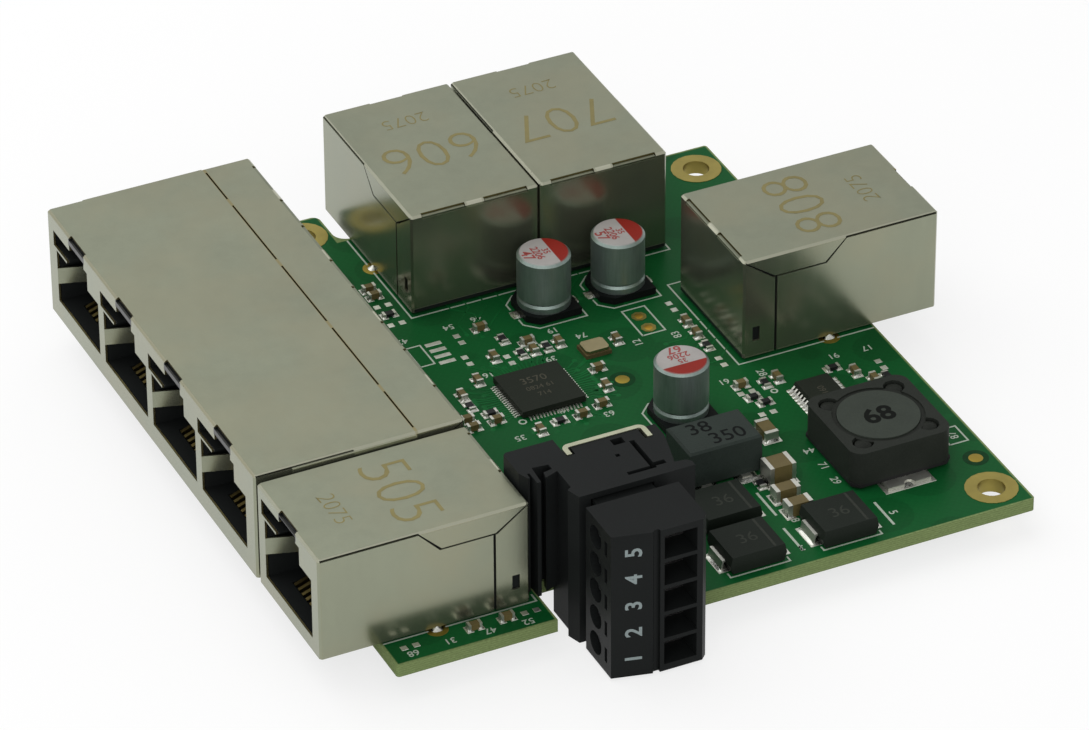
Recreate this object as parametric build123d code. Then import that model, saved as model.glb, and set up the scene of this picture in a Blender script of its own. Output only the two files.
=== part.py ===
from build123d import *
import os

os.makedirs("parts", exist_ok=True)

# Industrial ethernet switch as a bare board module: one green circuit board
# that carries eight shielded network jacks and a five-pole power connector.
# Origin: axis of the front right mounting hole, on the underside of the board.
# +X runs to the right along the front edge, +Y to the back, +Z up.

# Circuit board
board_thickness = 1.6
board_width = 76.5
board_depth = 81.4
front_step = 2.65
tab_width = 28.3
tab_reach = 6.1
tab_outer_radius = 1.0
tab_inner_radius = 1.8
board_corner_radius = 0.4

# Mounting holes and their plated rings
mount_hole_diameter = 3.2
mount_ring_diameter = 6.0
hole_inset_side = 3.4
hole_inset_front = 3.9
hole_inset_back = 4.2
tab_hole_inset = 3.4
ring_thickness = 0.05
ring_sides = 20

# Small round features, reach of a cutter past a face, and how near an edge is taken as the same
small_hole_sides = 8
overcut = 1.0
corner_tolerance = 0.01

# Single network jack
jack_width = 16.2
jack_depth = 24.9
jack_height = 13.4
jack_seat_gap = 0.35
shield_thickness = 0.25
shield_bend = 0.25
shield_corner = 0.25
left_reach = 17.7
right_reach = 16.9
back_reach = 18.1
jack_to_jack_gap = 0.25
first_jack_setback = 4.05
right_jack_offset = 5.7
tab_jack_gap = 1.3

# Port opening of a jack
port_width = 12.4
port_floor = 2.1
port_roof = 9.7
latch_width = 6.2
latch_roof = 12.0
key_width = 4.3
window_reach = 0.8
window_floor = 10.0
port_cavity_depth = 12.6
latch_notch_reach = 0.4

# Seams of a folded shield
seam_width = 0.2
rear_tab_gap = 0.3
flange_start = 11.8
flange_drop = 2.8
flange_slant = 2.7
rear_tab_reach = 4.0
rear_slot_length = 5.5
rear_slot_depth = 0.5
rear_middle_tab = 2.4
catch_width = 0.9
catch_height = 1.9
catch_floor = 2.4
catch_inset = 1.2
finger_height = 2.1
finger_floor = 5.1
finger_length = 3.4
finger_thickness = 0.2
finger_inset = 0.9
window_depth = 2.0

# Pins, posts and ground tabs below a jack
ground_tab_width = 1.0
ground_tab_inset = 13.3
ground_slot_clearance = 0.25
tail_width = 0.5
tail_reach = 1.4
tail_pitch = 1.02
tail_row_gap = 2.54
tail_inset = 4.3
post_diameter = 3.0
post_clearance = 0.1
post_spread = 11.4
post_inset = 15.2

# Contact wires of a port
contact_count = 8
contact_pitch = 1.02
contact_width = 0.45
contact_thickness = 0.3
contact_start = 2.2
contact_rise = 2.6
contact_run = 8.0

# Jack with four ports
gang_ports = 4
gang_pitch = 13.97
gang_side_margin = 8.7
gang_extra_depth = 0.3
gang_height = 13.9
gang_port_lift = 0.7
gang_reach = 17.9
gang_gap = 0.5
gang_seam_inset = 19.3
gang_seam_end = 1.0
gang_bridge = 1.5
gang_flange_start = 4.5
gang_flange_drop = 3.1
gang_flange_thickness = 0.25
housing_clearance = 0.1

# Power connector
pole_count = 5
pole_pitch = 3.5
pole_height = 5.4
header_jack_gap = 0.25
header_setback = 0.4
header_width = 12.4
header_height = 19.4
header_front_depth = 6.55
header_rear_depth = 8.85
header_rib = 0.55
rib_front = 1.7
rib_back = 2.1
wing_reach = 1.5
wing_depth = 1.3
wing_lip = 0.8
wing_bevel = 0.4
waist_inset = 0.3
waist_step = 0.2
waist_depth = 1.2
shoulder_reach = 1.0
shoulder_depth = 5.2
cavity_inset_x = 1.4
cavity_width = 7.6
cavity_depth = 5.8
cavity_end_margin = 0.7
chamber_depth = 1.75
chamber_left = 3.0
chamber_width = 8.4
chamber_roof = 1.2
hatch_start = 4.6
hatch_width = 1.4
hatch_depth = 1.1
notch_left_clearance = 2.8
notch_right_clearance = 0.6
notch_back_clearance = 0.2
pin_width = 0.8
pin_reach = 4.4
pin_tail = 1.4
pin_hole_diameter = 1.3
pin_step = 1.85
plate_thickness = 0.6
plate_bend_radius = 0.9
plate_inner_radius = 0.3
plate_overlap = 0.2
plate_left_lip = 1.3
plate_right_lip = 1.9
plate_clearance = 0.05
plate_foot_gap = 0.3
plate_rise = 0.1

# Flange beside the header
flange_left_x = 3.95
flange_back = 2.15
flange_depth = 5.55
flange_overlap = 2.1
flange_bevel = 0.35
tongue_root = 1.4
tongue_inset = 0.5
tongue_tip = 0.1
groove_left = 0.75
groove_right = 1.05
groove_floor = 0.9
rail_reach = 1.1
rail_right = 1.5
hook_left = 1.7
hook_right = 3.6
hook_floor = 1.7
hook_back = 1.5
hook_front = 0.6
arm_left = 2.5
arm_tip = 2.3
arm_back = 0.4
arm_front = 0.6

# Keyway in the header's top
keyway_depth = 1.5
keyway_leg_x = 9.4
keyway_leg_width = 0.6
keyway_leg_front = 2.2
keyway_bar_left = 6.6
keyway_bar_front = 1.4
keyway_bar_width = 0.55
keyway_end_right = 11.3
keyway_end_front = 1.7
keyway_end_width = 0.7
dimple_x = 6.9
dimple_y = 5.0
dimple_size = 0.5

# Plug of the power connector
plug_width = 11.1
plug_end_margin = 0.6
plug_shoulder_gap = 1.6
plug_body_depth = 7.35
plug_facet_width = 4.7
plug_facet_slope = 1.2
plug_groove_width = 0.6
plug_groove_depth = 0.4
plug_corner = 0.7
plug_facet_step = 0.1
plug_facet_lead = 0.2
nose_overlap = 0.1
nose_clearance = 0.25
wire_entry_width = 3.9
wire_entry_height = 3.0
wire_entry_inset = 1.4
wire_entry_depth = 6.4
screw_hole_diameter = 2.8
screw_hole_sides = 18
screw_diameter = 2.4
screw_sides = 14
screw_recess = 0.9
screw_setback = 2.4
screw_slot = 0.45
screw_slot_depth = 0.7
screw_slot_turn = 35
test_slot_depth = 1.5
test_slot_width = 0.6
test_slot_height = 1.9
test_slot_setback = 4.6
cage_wall = 0.35
cage_depth = 3.0

# Aluminium can capacitors
can_diameter = 6.3
can_height = 7.7
can_base_size = 6.6
can_base_height = 1.0
can_base_chamfer = 1.3
can_rim_height = 0.7
can_neck = 0.2
can_neck_height = 0.6
can_crown = 0.35
can_lead_width = 0.7
can_lead_reach = 0.45
can_lead_root = 0.6
can_lead_thickness = 0.15
can_places = [(-29.1, 54.4, 0), (-19.6, 54.4, 0), (-24.7, 27.7, -90)]

# Power inductor
inductor_size = 12.5
inductor_height = 4.9
inductor_corner = 1.6
inductor_base = 0.4
inductor_drum_diameter = 9.4
inductor_gap = 0.55
inductor_lobe_radius = 1.2
inductor_lobe_inset = 0.95
inductor_lobe_sides = 10
drum_flange = 0.85
drum_waist_share = 0.5
winding_gap = 0.1
winding_sides = 20
terminal_notch = 1.2
terminal_root = 2.0
inductor_place = (-7.95, 12.0)
inductor_terminal_width = 5.4
inductor_terminal_reach = 1.4

# Common mode choke
choke_length = 9.0
choke_width = 6.0
choke_height = 5.0
choke_lift = 0.4
choke_bevel = 0.25
choke_foot_width = 1.2
choke_foot_spread = 4.86
choke_foot_root = 1.2
choke_foot_reach = 0.5
choke_place = (-26.0, 16.9)

# Protection diodes
diode_length = 6.9
diode_width = 5.8
diode_height = 2.3
diode_terminal_width = 3.1
diode_terminal_reach = 0.55
diode_terminal_thickness = 0.2
diode_terminal_root = 0.05
diode_foot_root = 1.0
diode_lift = 0.15
diode_end_draft = 0.3
diode_top_draft = 0.25
diode_places = [(-18.8, 0.6), (-30.15, 0.6), (-29.3, 8.15)]

# Switch controller and regulator chips
controller_size = 7.9
controller_leads = 16
controller_pitch = 0.42
controller_height = 0.95
controller_pad_width = 0.22
controller_pad_height = 0.16
controller_pad_root = 0.35
controller_pad_reach = 0.45
controller_place = (-37.1, 38.8)
regulator_width = 4.4
regulator_length = 6.5
regulator_leads = 10
regulator_pitch = 0.65
regulator_height = 0.95
regulator_place = (-8.6, 23.8)
regulator_lead_width = 0.26
chip_draft = 0.15
chip_lift = 0.1
lead_reach = 0.8
lead_thickness = 0.12

# Crystal
crystal_length = 3.2
crystal_width = 2.6
crystal_height = 0.9
crystal_tray_height = 0.5
crystal_lid_margin = 0.15
crystal_lid_corner = 0.3
crystal_place = (-27.8, 43.75)

# Ceramic capacitors and resistors, each as (x, y, turned)
chip_length = 1.6
chip_width = 0.8
chip_height = 0.8
chip_end = 0.3
chip_end_skin = 0.03
small_capacitors = [
    (-37.7, 53.5, 0), (-34.0, 48.6, 0), (-38.8, 47.3, 1), (-34.1, 46.7, 1), (-30.8, 46.9, 1),
    (-42.5, 43.8, 1), (-45.4, 41.8, 1), (-43.9, 35.7, 0), (-46.9, 37.2, 0), (-46.9, 35.5, 0),
    (-40.3, 31.8, 1), (-34.7, 32.6, 0), (-31.8, 33.5, 0), (-29.8, 36.5, 1), (-29.1, 40.2, 0),
    (-24.6, 44.5, 1), (-15.8, 44.3, 1), (-15.8, 41.6, 1), (-16.0, 30.0, 0), (-11.6, 29.5, 1),
    (-3.1, 26.7, 1), (-1.8, 24.4, 1), (-45.9, 66.4, 0), (-45.9, 64.8, 0), (-62.8, 1.3, 0),
    (-58.9, 1.3, 0),
]
small_resistors = [
    (-36.3, 50.3, 1), (-35.6, 46.7, 1), (-32.4, 46.7, 1), (-45.4, 39.6, 1), (-43.9, 37.4, 0),
    (-37.5, 32.6, 0), (-15.8, 38.9, 1), (-15.8, 27.3, 0), (-15.0, 25.8, 0), (-13.3, 29.2, 1),
    (-5.0, 28.6, 0), (-0.2, 24.4, 1), (-45.9, 60.7, 0), (-22.8, 11.7, 1),
]
resistor_height = 0.45

# Larger ceramic capacitors, each as (x, y, length, width, height, turned)
large_capacitors = [
    (-20.5, 11.9, 3.2, 2.5, 2.5, 0), (-21.4, 8.4, 3.0, 1.6, 1.6, 0),
    (-21.4, 5.4, 3.0, 1.6, 1.6, 0), (-17.8, 20.1, 3.0, 1.6, 1.3, 1), (-42.6, 9.9, 3.0, 1.6, 1.6, 0),
]
large_chip_end = 0.5

# Test header footprint
test_hole_diameter = 1.0
test_ring_diameter = 1.7
test_hole_pitch = 2.54
test_place = (-20.1, 46.6)

# Places worked out from the sizes above
top = board_thickness
right_x = hole_inset_side
left_x = right_x - board_width
front_right_y = -hole_inset_front
front_left_y = front_right_y + front_step
back_y = front_right_y + board_depth
tab_back_y = back_y + tab_reach
tab_right_x = left_x + tab_width
mount_holes = [
    (0, 0),
    (0, back_y - hole_inset_back),
    (tab_right_x - tab_hole_inset, tab_back_y - tab_hole_inset),
]
gang_depth = jack_depth + gang_extra_depth
header_left_x = left_x + left_reach + header_jack_gap + flange_left_x
header_right_x = header_left_x + header_width
header_front_y = front_left_y + header_setback
header_mid_z = top + pole_height
header_floor_z = header_mid_z - header_height / 2
header_roof_z = header_mid_z + header_height / 2
header_step_y = header_front_y + header_front_depth
header_back_y = header_front_y + header_rear_depth
pole_x = header_left_x + cavity_inset_x + cavity_width / 2
pole_heights = [header_mid_z + (i - (pole_count - 1) / 2) * pole_pitch for i in range(pole_count)]
cavity_height = header_height - 2 * cavity_end_margin
chamber_mid_y = header_back_y - chamber_depth / 2
pin_feet = [pole_x + (i - 1) * pin_step for i in range(pole_count)]


def block(x0, x1, y0, y1, z0, z1):
    """A box between two corners."""
    return Pos((x0 + x1) / 2, (y0 + y1) / 2, (z0 + z1) / 2) * Box(x1 - x0, y1 - y0, z1 - z0)


def prism(points, z0, z1):
    """An upright prism on a closed outline of (x, y) points."""
    outline = make_face(Polyline(*points, close=True))
    return Pos(0, 0, z0) * extrude(outline, amount=z1 - z0, dir=(0, 0, 1))


def side_prism(points, y0, y1):
    """A prism along Y on a closed outline of (x, z) points."""
    outline = make_face(Plane.XZ * Polyline(*points, close=True))
    return extrude(Pos(0, y0, 0) * outline, amount=y1 - y0, dir=(0, 1, 0))


def front_prism(points, x0, x1):
    """A prism along X on a closed outline of (y, z) points."""
    outline = make_face(Plane.YZ * Polyline(*points, close=True))
    return extrude(Pos(x0, 0, 0) * outline, amount=x1 - x0, dir=(1, 0, 0))


def many_sided(diameter, length, sides):
    """A centred upright prism with flats that touch a circle, for small round features that repeat."""
    outline = RegularPolygon(diameter / 2, sides, major_radius=False)
    return Pos(0, 0, -length / 2) * extrude(outline, amount=length, dir=(0, 0, 1))


def across(first, second):
    """Two bounds in rising order."""
    return min(first, second), max(first, second)


def together(shapes, place=Pos(0, 0, 0)):
    """Separate solids kept side by side in one node, each put in its place."""
    return Compound(children=[place * solid for shape in shapes for solid in shape.solids()])


def save(name, shape):
    """Write one node."""
    export_step(shape, "parts/" + name + ".step")


# Network jacks. A jack is built with its port face on x = 0, its depth along +X,
# its middle on y = 0 and the board's upper face on z = 0.


def port_outline(centre, lift):
    """Outline of one port seen from the front: plug space, latch channel and key."""
    half = port_width / 2
    latch = latch_width / 2
    key = key_width / 2
    floor = port_floor + lift
    crown = jack_height - 2 * shield_thickness - housing_clearance
    return [
        (centre - half, floor), (centre + half, floor), (centre + half, port_roof),
        (centre + latch, port_roof), (centre + latch, latch_roof), (centre + key, latch_roof),
        (centre + key, crown), (centre - key, crown), (centre - key, latch_roof),
        (centre - latch, latch_roof), (centre - latch, port_roof), (centre - half, port_roof),
    ]


def port_cutter(centre, lift, reach):
    """The space of one port, cut to a depth."""
    return front_prism(port_outline(centre, lift), -overcut, reach)


def window_cutter(centre, reach):
    """The indicator window at the upper left of a port."""
    outer = centre + port_width / 2 + window_reach
    return block(-overcut, reach, centre + latch_width / 2, outer, window_floor, latch_roof)


def folded_box(depth, width, height):
    """A sheet metal box with bent edges and an open underside."""
    outer = block(0, depth, -width / 2, width / 2, jack_seat_gap, height)
    outer = chamfer(outer.edges().filter_by(Axis.Z), shield_corner)
    outer = chamfer(outer.edges().group_by(Axis.Z)[-1], shield_bend)
    wall = shield_thickness
    half = width / 2 - wall
    return outer - block(wall, depth - wall, -half, half, -overcut, height - wall)


def side_seams(depth, width, height, side):
    """Cutters for the seams of one side wall: top edge, flange outline and rear tab."""
    y0, y1 = across(side * (width / 2 - 2 * shield_thickness), side * (width / 2 + shield_thickness))
    crease = height - shield_thickness / 2
    flange_z = height - flange_drop
    flange_end = flange_start + flange_slant
    tab_x = depth - rear_tab_reach
    gap = seam_width
    top_seam = block(shield_thickness, flange_start, y0, y1, crease - gap, crease)
    slant = side_prism(
        [(flange_start - gap, crease), (flange_start, crease), (flange_end, flange_z),
         (tab_x, flange_z), (tab_x, flange_z - gap), (flange_end - gap, flange_z - gap)], y0, y1)
    tab_gap = block(tab_x - rear_tab_gap, tab_x, y0, y1, jack_seat_gap - overcut, flange_z)
    corner = side_prism(
        [(tab_x, flange_z), (tab_x, flange_z - gap), (tab_x + gap, flange_z - gap),
         (depth - shield_thickness, crease - gap), (depth - shield_thickness, crease)], y0, y1)
    catch_x = depth - catch_inset
    catch = block(catch_x - catch_width, catch_x, y0, y1, catch_floor, catch_floor + catch_height)
    return [top_seam, slant, tab_gap, corner, catch]


def rear_slots(depth, height, centres):
    """Relief slots where the rear plate is bent down from the top plate."""
    x0 = depth - rear_slot_depth
    half = rear_slot_length / 2
    z0 = height - 2 * shield_thickness
    return [block(x0, depth + overcut, y - half, y + half, z0, height + overcut) for y in centres]


def ground_tabs(width):
    """Tabs that run from the side walls down through the board."""
    foot = -board_thickness - tail_reach
    x1 = ground_tab_inset + ground_tab_width
    tabs = []
    for side in (-1, 1):
        y0, y1 = across(side * width / 2, side * (width / 2 - shield_thickness))
        tabs.append(block(ground_tab_inset, x1, y0, y1, foot, jack_seat_gap + shield_thickness))
    return tabs


def spring_fingers(centre):
    """Earth fingers that lie along both sides of a port, joined to the front plate."""
    fingers = []
    for side in (-1, 1):
        root = side * (port_width / 2 + finger_thickness)
        tip = side * (port_width / 2 - finger_inset)
        near = side * finger_thickness
        strip = prism([(0, centre + root - near), (0, centre + root), (shield_thickness, centre + root),
                       (finger_length, centre + tip), (finger_length, centre + tip - near)],
                      finger_floor, finger_floor + finger_height)
        fingers.append(strip)
    return fingers


def latch_notch(centre, height):
    """The notch in the top plate over the latch of a plug."""
    half = key_width / 2
    z0 = height - 2 * shield_thickness
    return block(-overcut, latch_notch_reach, centre - half, centre + half, z0, height + overcut)


def jack_shield(depth, width, height, centres, lift):
    """Folded shield of a jack with its ports, seams, slots, tabs and earth fingers."""
    shell = folded_box(depth, width, height)
    cutters = []
    slot_offset = (rear_slot_length + rear_middle_tab) / 2
    for centre in centres:
        cutters += [port_cutter(centre, lift, 2 * shield_thickness)]
        cutters += [window_cutter(centre, 2 * shield_thickness), latch_notch(centre, height)]
        cutters += rear_slots(depth, height, [centre - slot_offset, centre + slot_offset])
    for side in (-1, 1):
        cutters += side_seams(depth, width, height, side)
    shell = shell - cutters
    for centre in centres:
        shell = shell + spring_fingers(centre)
    return shell + ground_tabs(width)


def gang_seam(x, start, end):
    """One stretch of the seam between the top plate and the rear cover of the four-port jack."""
    return block(x, x + seam_width, start, end, gang_height - 2 * shield_thickness, gang_height + overcut)


def gang_shield(centres, width):
    """Shield of the jack with four ports: bridged seam across its top and lapped side flanges."""
    shell = jack_shield(gang_depth, width, gang_height, centres, gang_port_lift)
    first = -width / 2 + gang_seam_end
    starts = [first] + [centre + gang_bridge for centre in centres]
    ends = list(centres) + [-first]
    shell = shell - [gang_seam(gang_seam_inset, start, end) for start, end in zip(starts, ends)]
    for side in (-1, 1):
        y0, y1 = across(side * (width / 2 - shield_thickness), side * (width / 2 + gang_flange_thickness))
        shell = shell + block(gang_flange_start, gang_seam_inset, y0, y1,
                              gang_height - gang_flange_drop, gang_height - shield_bend)
    return shell


def jack_posts(spread):
    """Locating posts of a jack housing."""
    length = board_thickness + tail_reach / 2
    z = -length / 2 + jack_seat_gap / 2
    post = many_sided(post_diameter, length + jack_seat_gap, small_hole_sides)
    return [Pos(post_inset, side * spread / 2, z) * post for side in (-1, 1)]


def contact_well(centre, lift):
    """Recess in the floor of a port that takes its row of contact wires."""
    half = contact_count * contact_pitch / 2
    floor = port_floor + lift
    return block(contact_start - housing_clearance, port_cavity_depth, centre - half, centre + half,
                 floor - contact_thickness, floor + housing_clearance)


def finger_recesses(centre):
    """Recesses beside a port that let the earth fingers through."""
    reach = finger_thickness + housing_clearance
    z0 = finger_floor - housing_clearance
    z1 = finger_floor + finger_height + housing_clearance
    cuts = []
    for side in (-1, 1):
        wall = centre + side * port_width / 2
        cuts.append(block(-overcut, finger_length, wall - reach, wall + reach, z0, z1))
    return cuts


def jack_housing(depth, width, height, centres, lift, spread):
    """Moulded insert of a jack with a cavity for each plug."""
    gap = shield_thickness + housing_clearance
    body = block(gap, depth - gap, -width / 2 + gap, width / 2 - gap, jack_seat_gap, height - gap)
    body = body + jack_posts(spread)
    cutters = []
    for centre in centres:
        cutters += [port_cutter(centre, lift, port_cavity_depth), contact_well(centre, lift)]
        cutters += finger_recesses(centre) + [window_cutter(centre, window_depth)]
    return body - cutters


def contact_wire(y, lift):
    """One sprung contact wire that rises from the floor of a port towards its back."""
    floor = port_floor + lift
    t = contact_thickness
    x0 = contact_start
    x1 = contact_start + contact_run
    z1 = floor + contact_rise
    points = [(x0, floor), (x0, floor - t), (x0 + 2 * t, floor - t), (x1, z1), (x1 - t, z1 + t)]
    return side_prism(points, y - contact_width / 2, y + contact_width / 2)


def jack_contacts(centres, lift):
    """Contact wires of every port of a jack."""
    wires = []
    for centre in centres:
        for index in range(contact_count):
            y = centre + (index - (contact_count - 1) / 2) * contact_pitch
            wires.append(contact_wire(y, lift))
    return wires


def jack_tails(depth, centres):
    """Soldered pin ends of a jack on the underside of the board, in two staggered rows."""
    tails = []
    z0 = -board_thickness - tail_reach
    for centre in centres:
        for index in range(contact_count):
            x = depth - tail_inset - (index % 2) * tail_row_gap
            y = centre + (index - (contact_count - 1) / 2) * tail_pitch
            half = tail_width / 2
            tails.append(block(x - half, x + half, y - half, y + half, z0, -board_thickness))
    return tails


def jack_board_cutters(width, spread):
    """Slots and holes that a jack needs in the board."""
    gap = ground_slot_clearance
    x0 = ground_tab_inset - gap
    x1 = ground_tab_inset + ground_tab_width + gap
    half = shield_thickness / 2 + gap
    hole = many_sided(post_diameter + 2 * post_clearance, 4 * board_thickness, small_hole_sides)
    cutters = []
    for side in (-1, 1):
        middle = side * (width / 2 - shield_thickness / 2)
        cutters.append(block(x0, x1, middle - half, middle + half, -board_thickness - overcut, overcut))
        cutters.append(Pos(post_inset, side * spread / 2, 0) * hole)
    return cutters


def jack_places():
    """Name, place and turn of the four single jacks. Each keeps its rear face on the board."""
    first_y = front_left_y + first_jack_setback + jack_width / 2
    side_y = right_side_jack_y()
    behind = back_y - back_reach + jack_depth
    third_x = tab_right_x + tab_jack_gap + jack_width / 2
    fourth_x = third_x + jack_width + jack_to_jack_gap
    return [
        ("jack_5", Pos(left_x + left_reach - jack_depth, first_y, top)),
        ("jack_6", Pos(third_x, behind, top) * Rot(0, 0, -90)),
        ("jack_7", Pos(fourth_x, behind, top) * Rot(0, 0, -90)),
        ("jack_8", Pos(right_x - right_reach + jack_depth, side_y, top) * Rot(0, 0, 180)),
    ]


def right_side_jack_y():
    """The right-hand jack sits a little behind the middle of that edge."""
    return front_right_y + board_depth / 2 + right_jack_offset


def gang_width():
    return (gang_ports - 1) * gang_pitch + 2 * gang_side_margin


def gang_centres():
    return [(index - (gang_ports - 1) / 2) * gang_pitch for index in range(gang_ports)]


def gang_place():
    """The jack with four ports stands beside the front left jack."""
    near = front_left_y + first_jack_setback + jack_width + gang_gap
    return Pos(left_x + gang_reach - gang_depth, near + gang_width() / 2, top)


def build_jacks():
    """Write every jack and return the cutters for the board."""
    cutters = []
    shield = jack_shield(jack_depth, jack_width, jack_height, [0], 0)
    housing = jack_housing(jack_depth, jack_width, jack_height, [0], 0, post_spread)
    contacts = jack_contacts([0], 0)
    tails = jack_tails(jack_depth, [0])
    for name, place in jack_places():
        save(name + "_shield", place * shield)
        save(name + "_housing", place * housing)
        save(name + "_contacts", together(contacts, place))
        save(name + "_pin_tails", together(tails, place))
        cutters += [place * cutter for cutter in jack_board_cutters(jack_width, post_spread)]
    place = gang_place()
    centres = gang_centres()
    width = gang_width()
    spread = (gang_ports - 1) * gang_pitch
    save("four_port_jack_shield", place * gang_shield(centres, width))
    save("four_port_jack_housing",
         place * jack_housing(gang_depth, width, gang_height, centres, gang_port_lift, spread))
    save("four_port_jack_contacts", together(jack_contacts(centres, gang_port_lift), place))
    save("four_port_jack_pin_tails", together(jack_tails(gang_depth, centres), place))
    return cutters + [place * cutter for cutter in jack_board_cutters(width, spread)]


# Power connector: a header in a notch of the front edge, and its plug.


def header_outline():
    """Plan outline of the header's body, with the rib and the wing at its front."""
    x0 = header_left_x
    x1 = header_right_x
    y0 = header_front_y
    y1 = header_back_y
    wing_y = y0 + wing_depth
    return [
        (x0, y0), (x1 + wing_reach, y0), (x1 + wing_reach, y0 + wing_lip),
        (x1 + wing_reach - wing_bevel, wing_y), (x1 - waist_inset, wing_y + waist_step),
        (x1, wing_y + waist_depth), (x1 + shoulder_reach, wing_y + shoulder_depth),
        (x1 + shoulder_reach, y1), (x0, y1), (x0, y0 + rib_back), (x0 - header_rib, y0 + rib_front),
    ]


def header_lower_outline():
    """Plan outline of the part of the header that passes through the notch."""
    x0 = header_left_x
    x1 = header_right_x
    y0 = header_front_y
    return [(x0, y0), (x1, y0), (x1, header_step_y), (x0, header_step_y),
            (x0, y0 + rib_back), (x0 - header_rib, y0 + rib_front)]


def flange_outline():
    """Plan outline of the keyed flange that stands on the board beside the header."""
    x = header_left_x
    y1 = header_back_y + flange_back
    y0 = y1 - flange_depth
    left = x - flange_left_x
    tongue = [(left, y0 + tongue_root), (left + tongue_inset, y0 + tongue_tip),
              (left + groove_left, y0 + tongue_tip)]
    rail = [(left + groove_left, y0 + groove_floor), (left + groove_right, y0 + groove_floor),
            (left + groove_right, y0 - rail_reach), (left + rail_right, y0 - rail_reach)]
    hook = [(left + hook_left, y0 + hook_floor), (left + hook_right, y0 + hook_back),
            (left + hook_right, y0 + hook_front)]
    arm = [(left + arm_left, y0 + arm_back), (left + arm_tip, y0 - arm_front)]
    back = [(x + flange_overlap, y1), (left + flange_bevel, y1), (left, y1 - flange_bevel)]
    return back + tongue + rail + hook + arm + [(x, y0), (x + flange_overlap, y0)]


def header_pin(index):
    """One contact pin: a blade in the cavity, then a bent leg down through the board."""
    half = pin_width / 2
    z = pole_heights[index]
    foot_x = pin_feet[index]
    tip_y = header_front_y + cavity_depth - pin_reach
    foot_z = -pin_tail
    y0 = chamber_mid_y - half
    y1 = chamber_mid_y + half
    if index == 0:
        riser_y = header_front_y + cavity_depth
        rise_z = top + 2 * pin_width
        blade = block(pole_x - half, pole_x + half, tip_y, riser_y + pin_width, z - half, z + half)
        riser = block(pole_x - half, pole_x + half, riser_y, riser_y + pin_width, z - half, rise_z)
        bridge = block(pole_x - half, pole_x + half, riser_y, y1, rise_z - pin_width, rise_z)
        side = block(foot_x - half, pole_x + half, y0, y1, rise_z - pin_width, rise_z)
        leg = block(foot_x - half, foot_x + half, y0, y1, foot_z, rise_z)
        return blade + riser + bridge + side + leg
    blade = block(pole_x - half, pole_x + half, tip_y, y1, z - half, z + half)
    side = block(pole_x - half, foot_x + half, y0, y1, z - half, z + half)
    leg = block(foot_x - half, foot_x + half, y0, y1, foot_z, z + half)
    return blade + side + leg


def plate_bounds():
    """Left and right ends of the rear plate."""
    x0 = header_left_x + chamber_left - plate_thickness - plate_overlap
    return x0, x0 + chamber_width + 2 * (plate_thickness + plate_overlap)


def rear_plate():
    """Channel-shaped plate with rounded bends that closes the back of the header."""
    x0, x1 = plate_bounds()
    y0 = header_back_y
    t = plate_thickness
    y1 = y0 + t
    points = [
        (x0, y1), (x0, y0 - plate_left_lip), (x0 + t, y0 - plate_left_lip), (x0 + t, y0),
        (x1 - t, y0), (x1 - t, y0 - plate_right_lip), (x1, y0 - plate_right_lip), (x1, y1),
    ]
    plate = prism(points, top + plate_foot_gap, header_roof_z + plate_rise)
    for x in (x0, x1):
        plate = fillet(upright_edge(plate, x, y1), plate_bend_radius)
    for x in (x0 + t, x1 - t):
        plate = fillet(upright_edge(plate, x, y0), plate_inner_radius)
    return plate


def lip_slots():
    """Slots in the header that take the two lips of the rear plate."""
    x0, x1 = plate_bounds()
    y1 = header_back_y + plate_thickness
    gap = plate_clearance
    t = plate_thickness + plate_inner_radius
    slots = []
    for left, right, lip in ((x0 - gap, x0 + t + gap, plate_left_lip), (x1 - t - gap, x1 + gap, plate_right_lip)):
        front = header_back_y - lip - gap
        slots.append(block(left, right, front, y1, top - overcut, header_roof_z + overcut))
    return slots


def header_recesses():
    """T-shaped keyway and small dimple in the top of the header."""
    x0 = header_left_x
    y0 = header_front_y
    z0 = header_roof_z - keyway_depth
    z1 = header_roof_z + overcut
    leg_x = x0 + keyway_leg_x
    leg_end = leg_x + keyway_leg_width
    bar_y = y0 + keyway_bar_front
    end_y = y0 + keyway_end_front
    dimple = (x0 + dimple_x, y0 + dimple_y)
    return [
        block(leg_x, leg_end, y0 + keyway_leg_front, header_back_y - chamber_depth, z0, z1),
        block(x0 + keyway_bar_left, leg_end, bar_y, bar_y + keyway_bar_width, z0, z1),
        block(leg_x, x0 + keyway_end_right, end_y, end_y + keyway_end_width, z0, z1),
        block(dimple[0], dimple[0] + dimple_size, dimple[1], dimple[1] + dimple_size, z0, z1),
    ]


def pin_chamber():
    """Space behind the poles for the bent pins, closed by a roof with a small hatch."""
    x0 = header_left_x + chamber_left
    y0 = header_back_y - chamber_depth
    roof = header_roof_z - chamber_roof
    hatch_x = x0 + hatch_start
    return [
        block(x0, x0 + chamber_width, y0, header_back_y + overcut, top - overcut, roof),
        block(hatch_x, hatch_x + hatch_width, y0, y0 + hatch_depth, roof - overcut, header_roof_z + overcut),
    ]


def header_housing(pins):
    """Moulded header: shroud, pin chamber, keyed flange and keyways."""
    body = prism(header_outline(), top, header_roof_z) + prism(header_lower_outline(), header_floor_z, top)
    body = body + prism(flange_outline(), top, header_roof_z)
    cavity_x = header_left_x + cavity_inset_x
    half = cavity_height / 2
    cavity = block(cavity_x, cavity_x + cavity_width, header_front_y - overcut,
                   header_front_y + cavity_depth, header_mid_z - half, header_mid_z + half)
    return body - cavity - pin_chamber() - header_recesses() - lip_slots() - pins


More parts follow.
